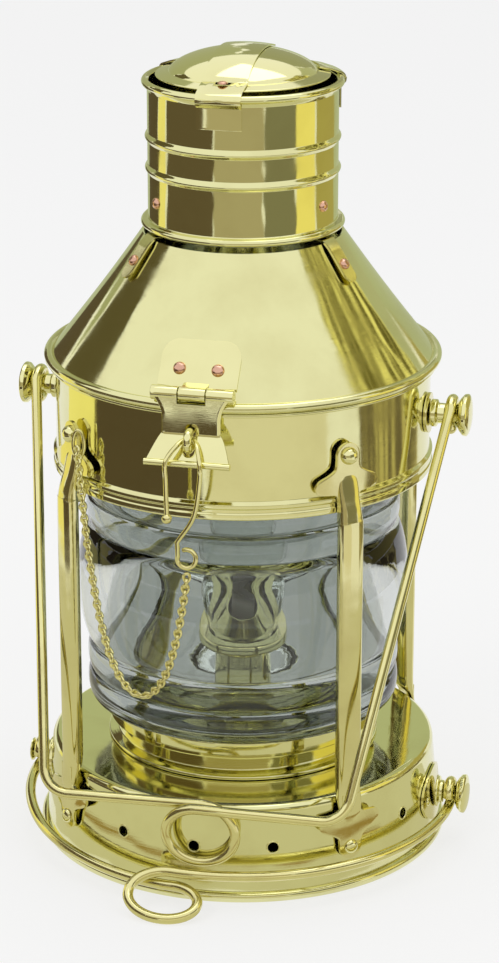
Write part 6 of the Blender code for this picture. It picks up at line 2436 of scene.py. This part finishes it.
@dataclass
class Burner:
    """The burner with its gallery, the glass chimney and the wick's wheel."""

    finishes: Finishes
    collar_r: float = 0.0165
    collar_h: float = 0.0060
    bore_r: float = 0.0072
    gallery_r: float = 0.0215
    gallery_t: float = 0.0030
    crown_h: float = 0.0040
    foot_r: float = BURNER_TUBE_R + 0.0040
    bulb_out: float = 0.0070
    bulb_share: float = 0.30
    top_r: float = 0.0135
    glass_h: float = 0.0700
    glass_t: float = 0.0015
    wheel_z: float = FONT_NECK_Z + 0.0160
    wheel_y: float = 0.0028
    wheel_r: float = 0.0080
    wheel_t: float = 0.0030
    wheel_x: float = BURNER_TUBE_R + 0.0140
    shaft_r: float = 0.0011

    def build_burner(self) -> Piece:
        """Spins the burner's tube and gallery, and drills its shaft hole.

        Returns:
            The burner.
        """
        low = FONT_NECK_Z + GAP
        crown = BURNER_GALLERY_Z + self.gallery_t
        outline = [
            (self.bore_r + SHEET, crown + self.crown_h),
            (BURNER_TUBE_R, crown),
            (self.gallery_r, crown),
            (self.gallery_r, BURNER_GALLERY_Z),
            (BURNER_TUBE_R, BURNER_GALLERY_Z - self.gallery_t),
            (BURNER_TUBE_R, low + self.collar_h + SHEET),
            (self.collar_r, low + self.collar_h),
            (self.collar_r, low),
            (self.bore_r, low),
            (self.bore_r, crown + self.crown_h),
        ]
        burner = spun("burner_tube", softened(outline, 0.0008), 96)
        drill = tube_x("drill", self.shaft_r + GAP, 0, 0, self.wheel_x, self.wheel_y, self.wheel_z)
        return cut(burner, [drill])

    def build_chimney(self) -> Piece:
        """Spins the blown glass chimney.

        Returns:
            The glass chimney.
        """
        low = BURNER_GALLERY_Z + self.gallery_t + GAP
        bulb_r = self.foot_r + self.bulb_out
        outer: Profile = []
        steps = 36
        for index in range(steps + 1):
            share = 1 - index / steps
            if share > self.bulb_share:
                fade = (share - self.bulb_share) / (1 - self.bulb_share)
                radius = self.top_r + (bulb_r - self.top_r) * math.cos(fade * math.pi / 2) ** 2
            else:
                radius = self.foot_r + self.bulb_out * math.sin(share / self.bulb_share * math.pi / 2)
            outer.append((radius, low + self.glass_h * share))
        inner = [(r - self.glass_t, z) for r, z in reversed(outer)]
        return spun("glass_bulb", outer + inner, 96)

    def build_wheel(self) -> Piece:
        """Spins the milled wick wheel and its spindle.

        Returns:
            The wheel.
        """
        shaft = tube_x("shaft", self.shaft_r, 0, 0.0030, self.wheel_x, self.wheel_y, self.wheel_z)
        end = self.wheel_x + self.wheel_t
        disc = tube_x("disc", self.wheel_r, 0, self.wheel_x - GAP, end, self.wheel_y, self.wheel_z)
        return joined("wick_knob", [shaft, disc])

    def build(self) -> None:
        """Builds and dresses the burner."""
        metal = self.finishes
        install(self.build_burner(), metal.bright, "burner")
        install(self.build_chimney(), metal.blown, "glass_chimney", slot=Slot.GLASS)
        install(self.build_wheel(), metal.bright, "wick_wheel", body=Body.WICK_WHEEL)


def dress_kept_nodes(nodes: dict[str, Piece], finishes: Finishes) -> None:
    """Gives the CAD nodes that stay their procedural finish.

    Args:
        nodes: The frame's nodes.
        finishes: The materials.
    """
    kept = {"base_bottom": finishes.shell, "oil_font": finishes.shell, "wick": finishes.cotton}
    for name, material in kept.items():
        node = nodes[name]
        node.data.materials.clear()
        node.data.materials.append(material)
        LOG.info("%s keeps its CAD shape", name)


def main() -> None:
    """Builds the studio and the lamp in order."""
    logging.basicConfig(level=logging.INFO, format="%(name)s: %(message)s")
    bpy.context.scene.view_settings.view_transform = "Standard"
    for old in list(bpy.data.objects):
        bpy.data.objects.remove(old)
    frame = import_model()
    finishes = make_finishes()
    studio = Studio()
    studio.add_camera()
    lock = LockAndChain(finishes)
    lock.build_cord()
    for kind in (BaseAssembly, LensAssembly, DrumAssembly, GuardSet, HoodAssembly, Hasp):
        kind(finishes).build()
    lock.build()
    for kind in (Bails, HoodHinge, Burner):
        kind(finishes).build()
    dress_kept_nodes(frame["nodes"], finishes)
    studio.build()


if __name__ == "__main__":
    main()
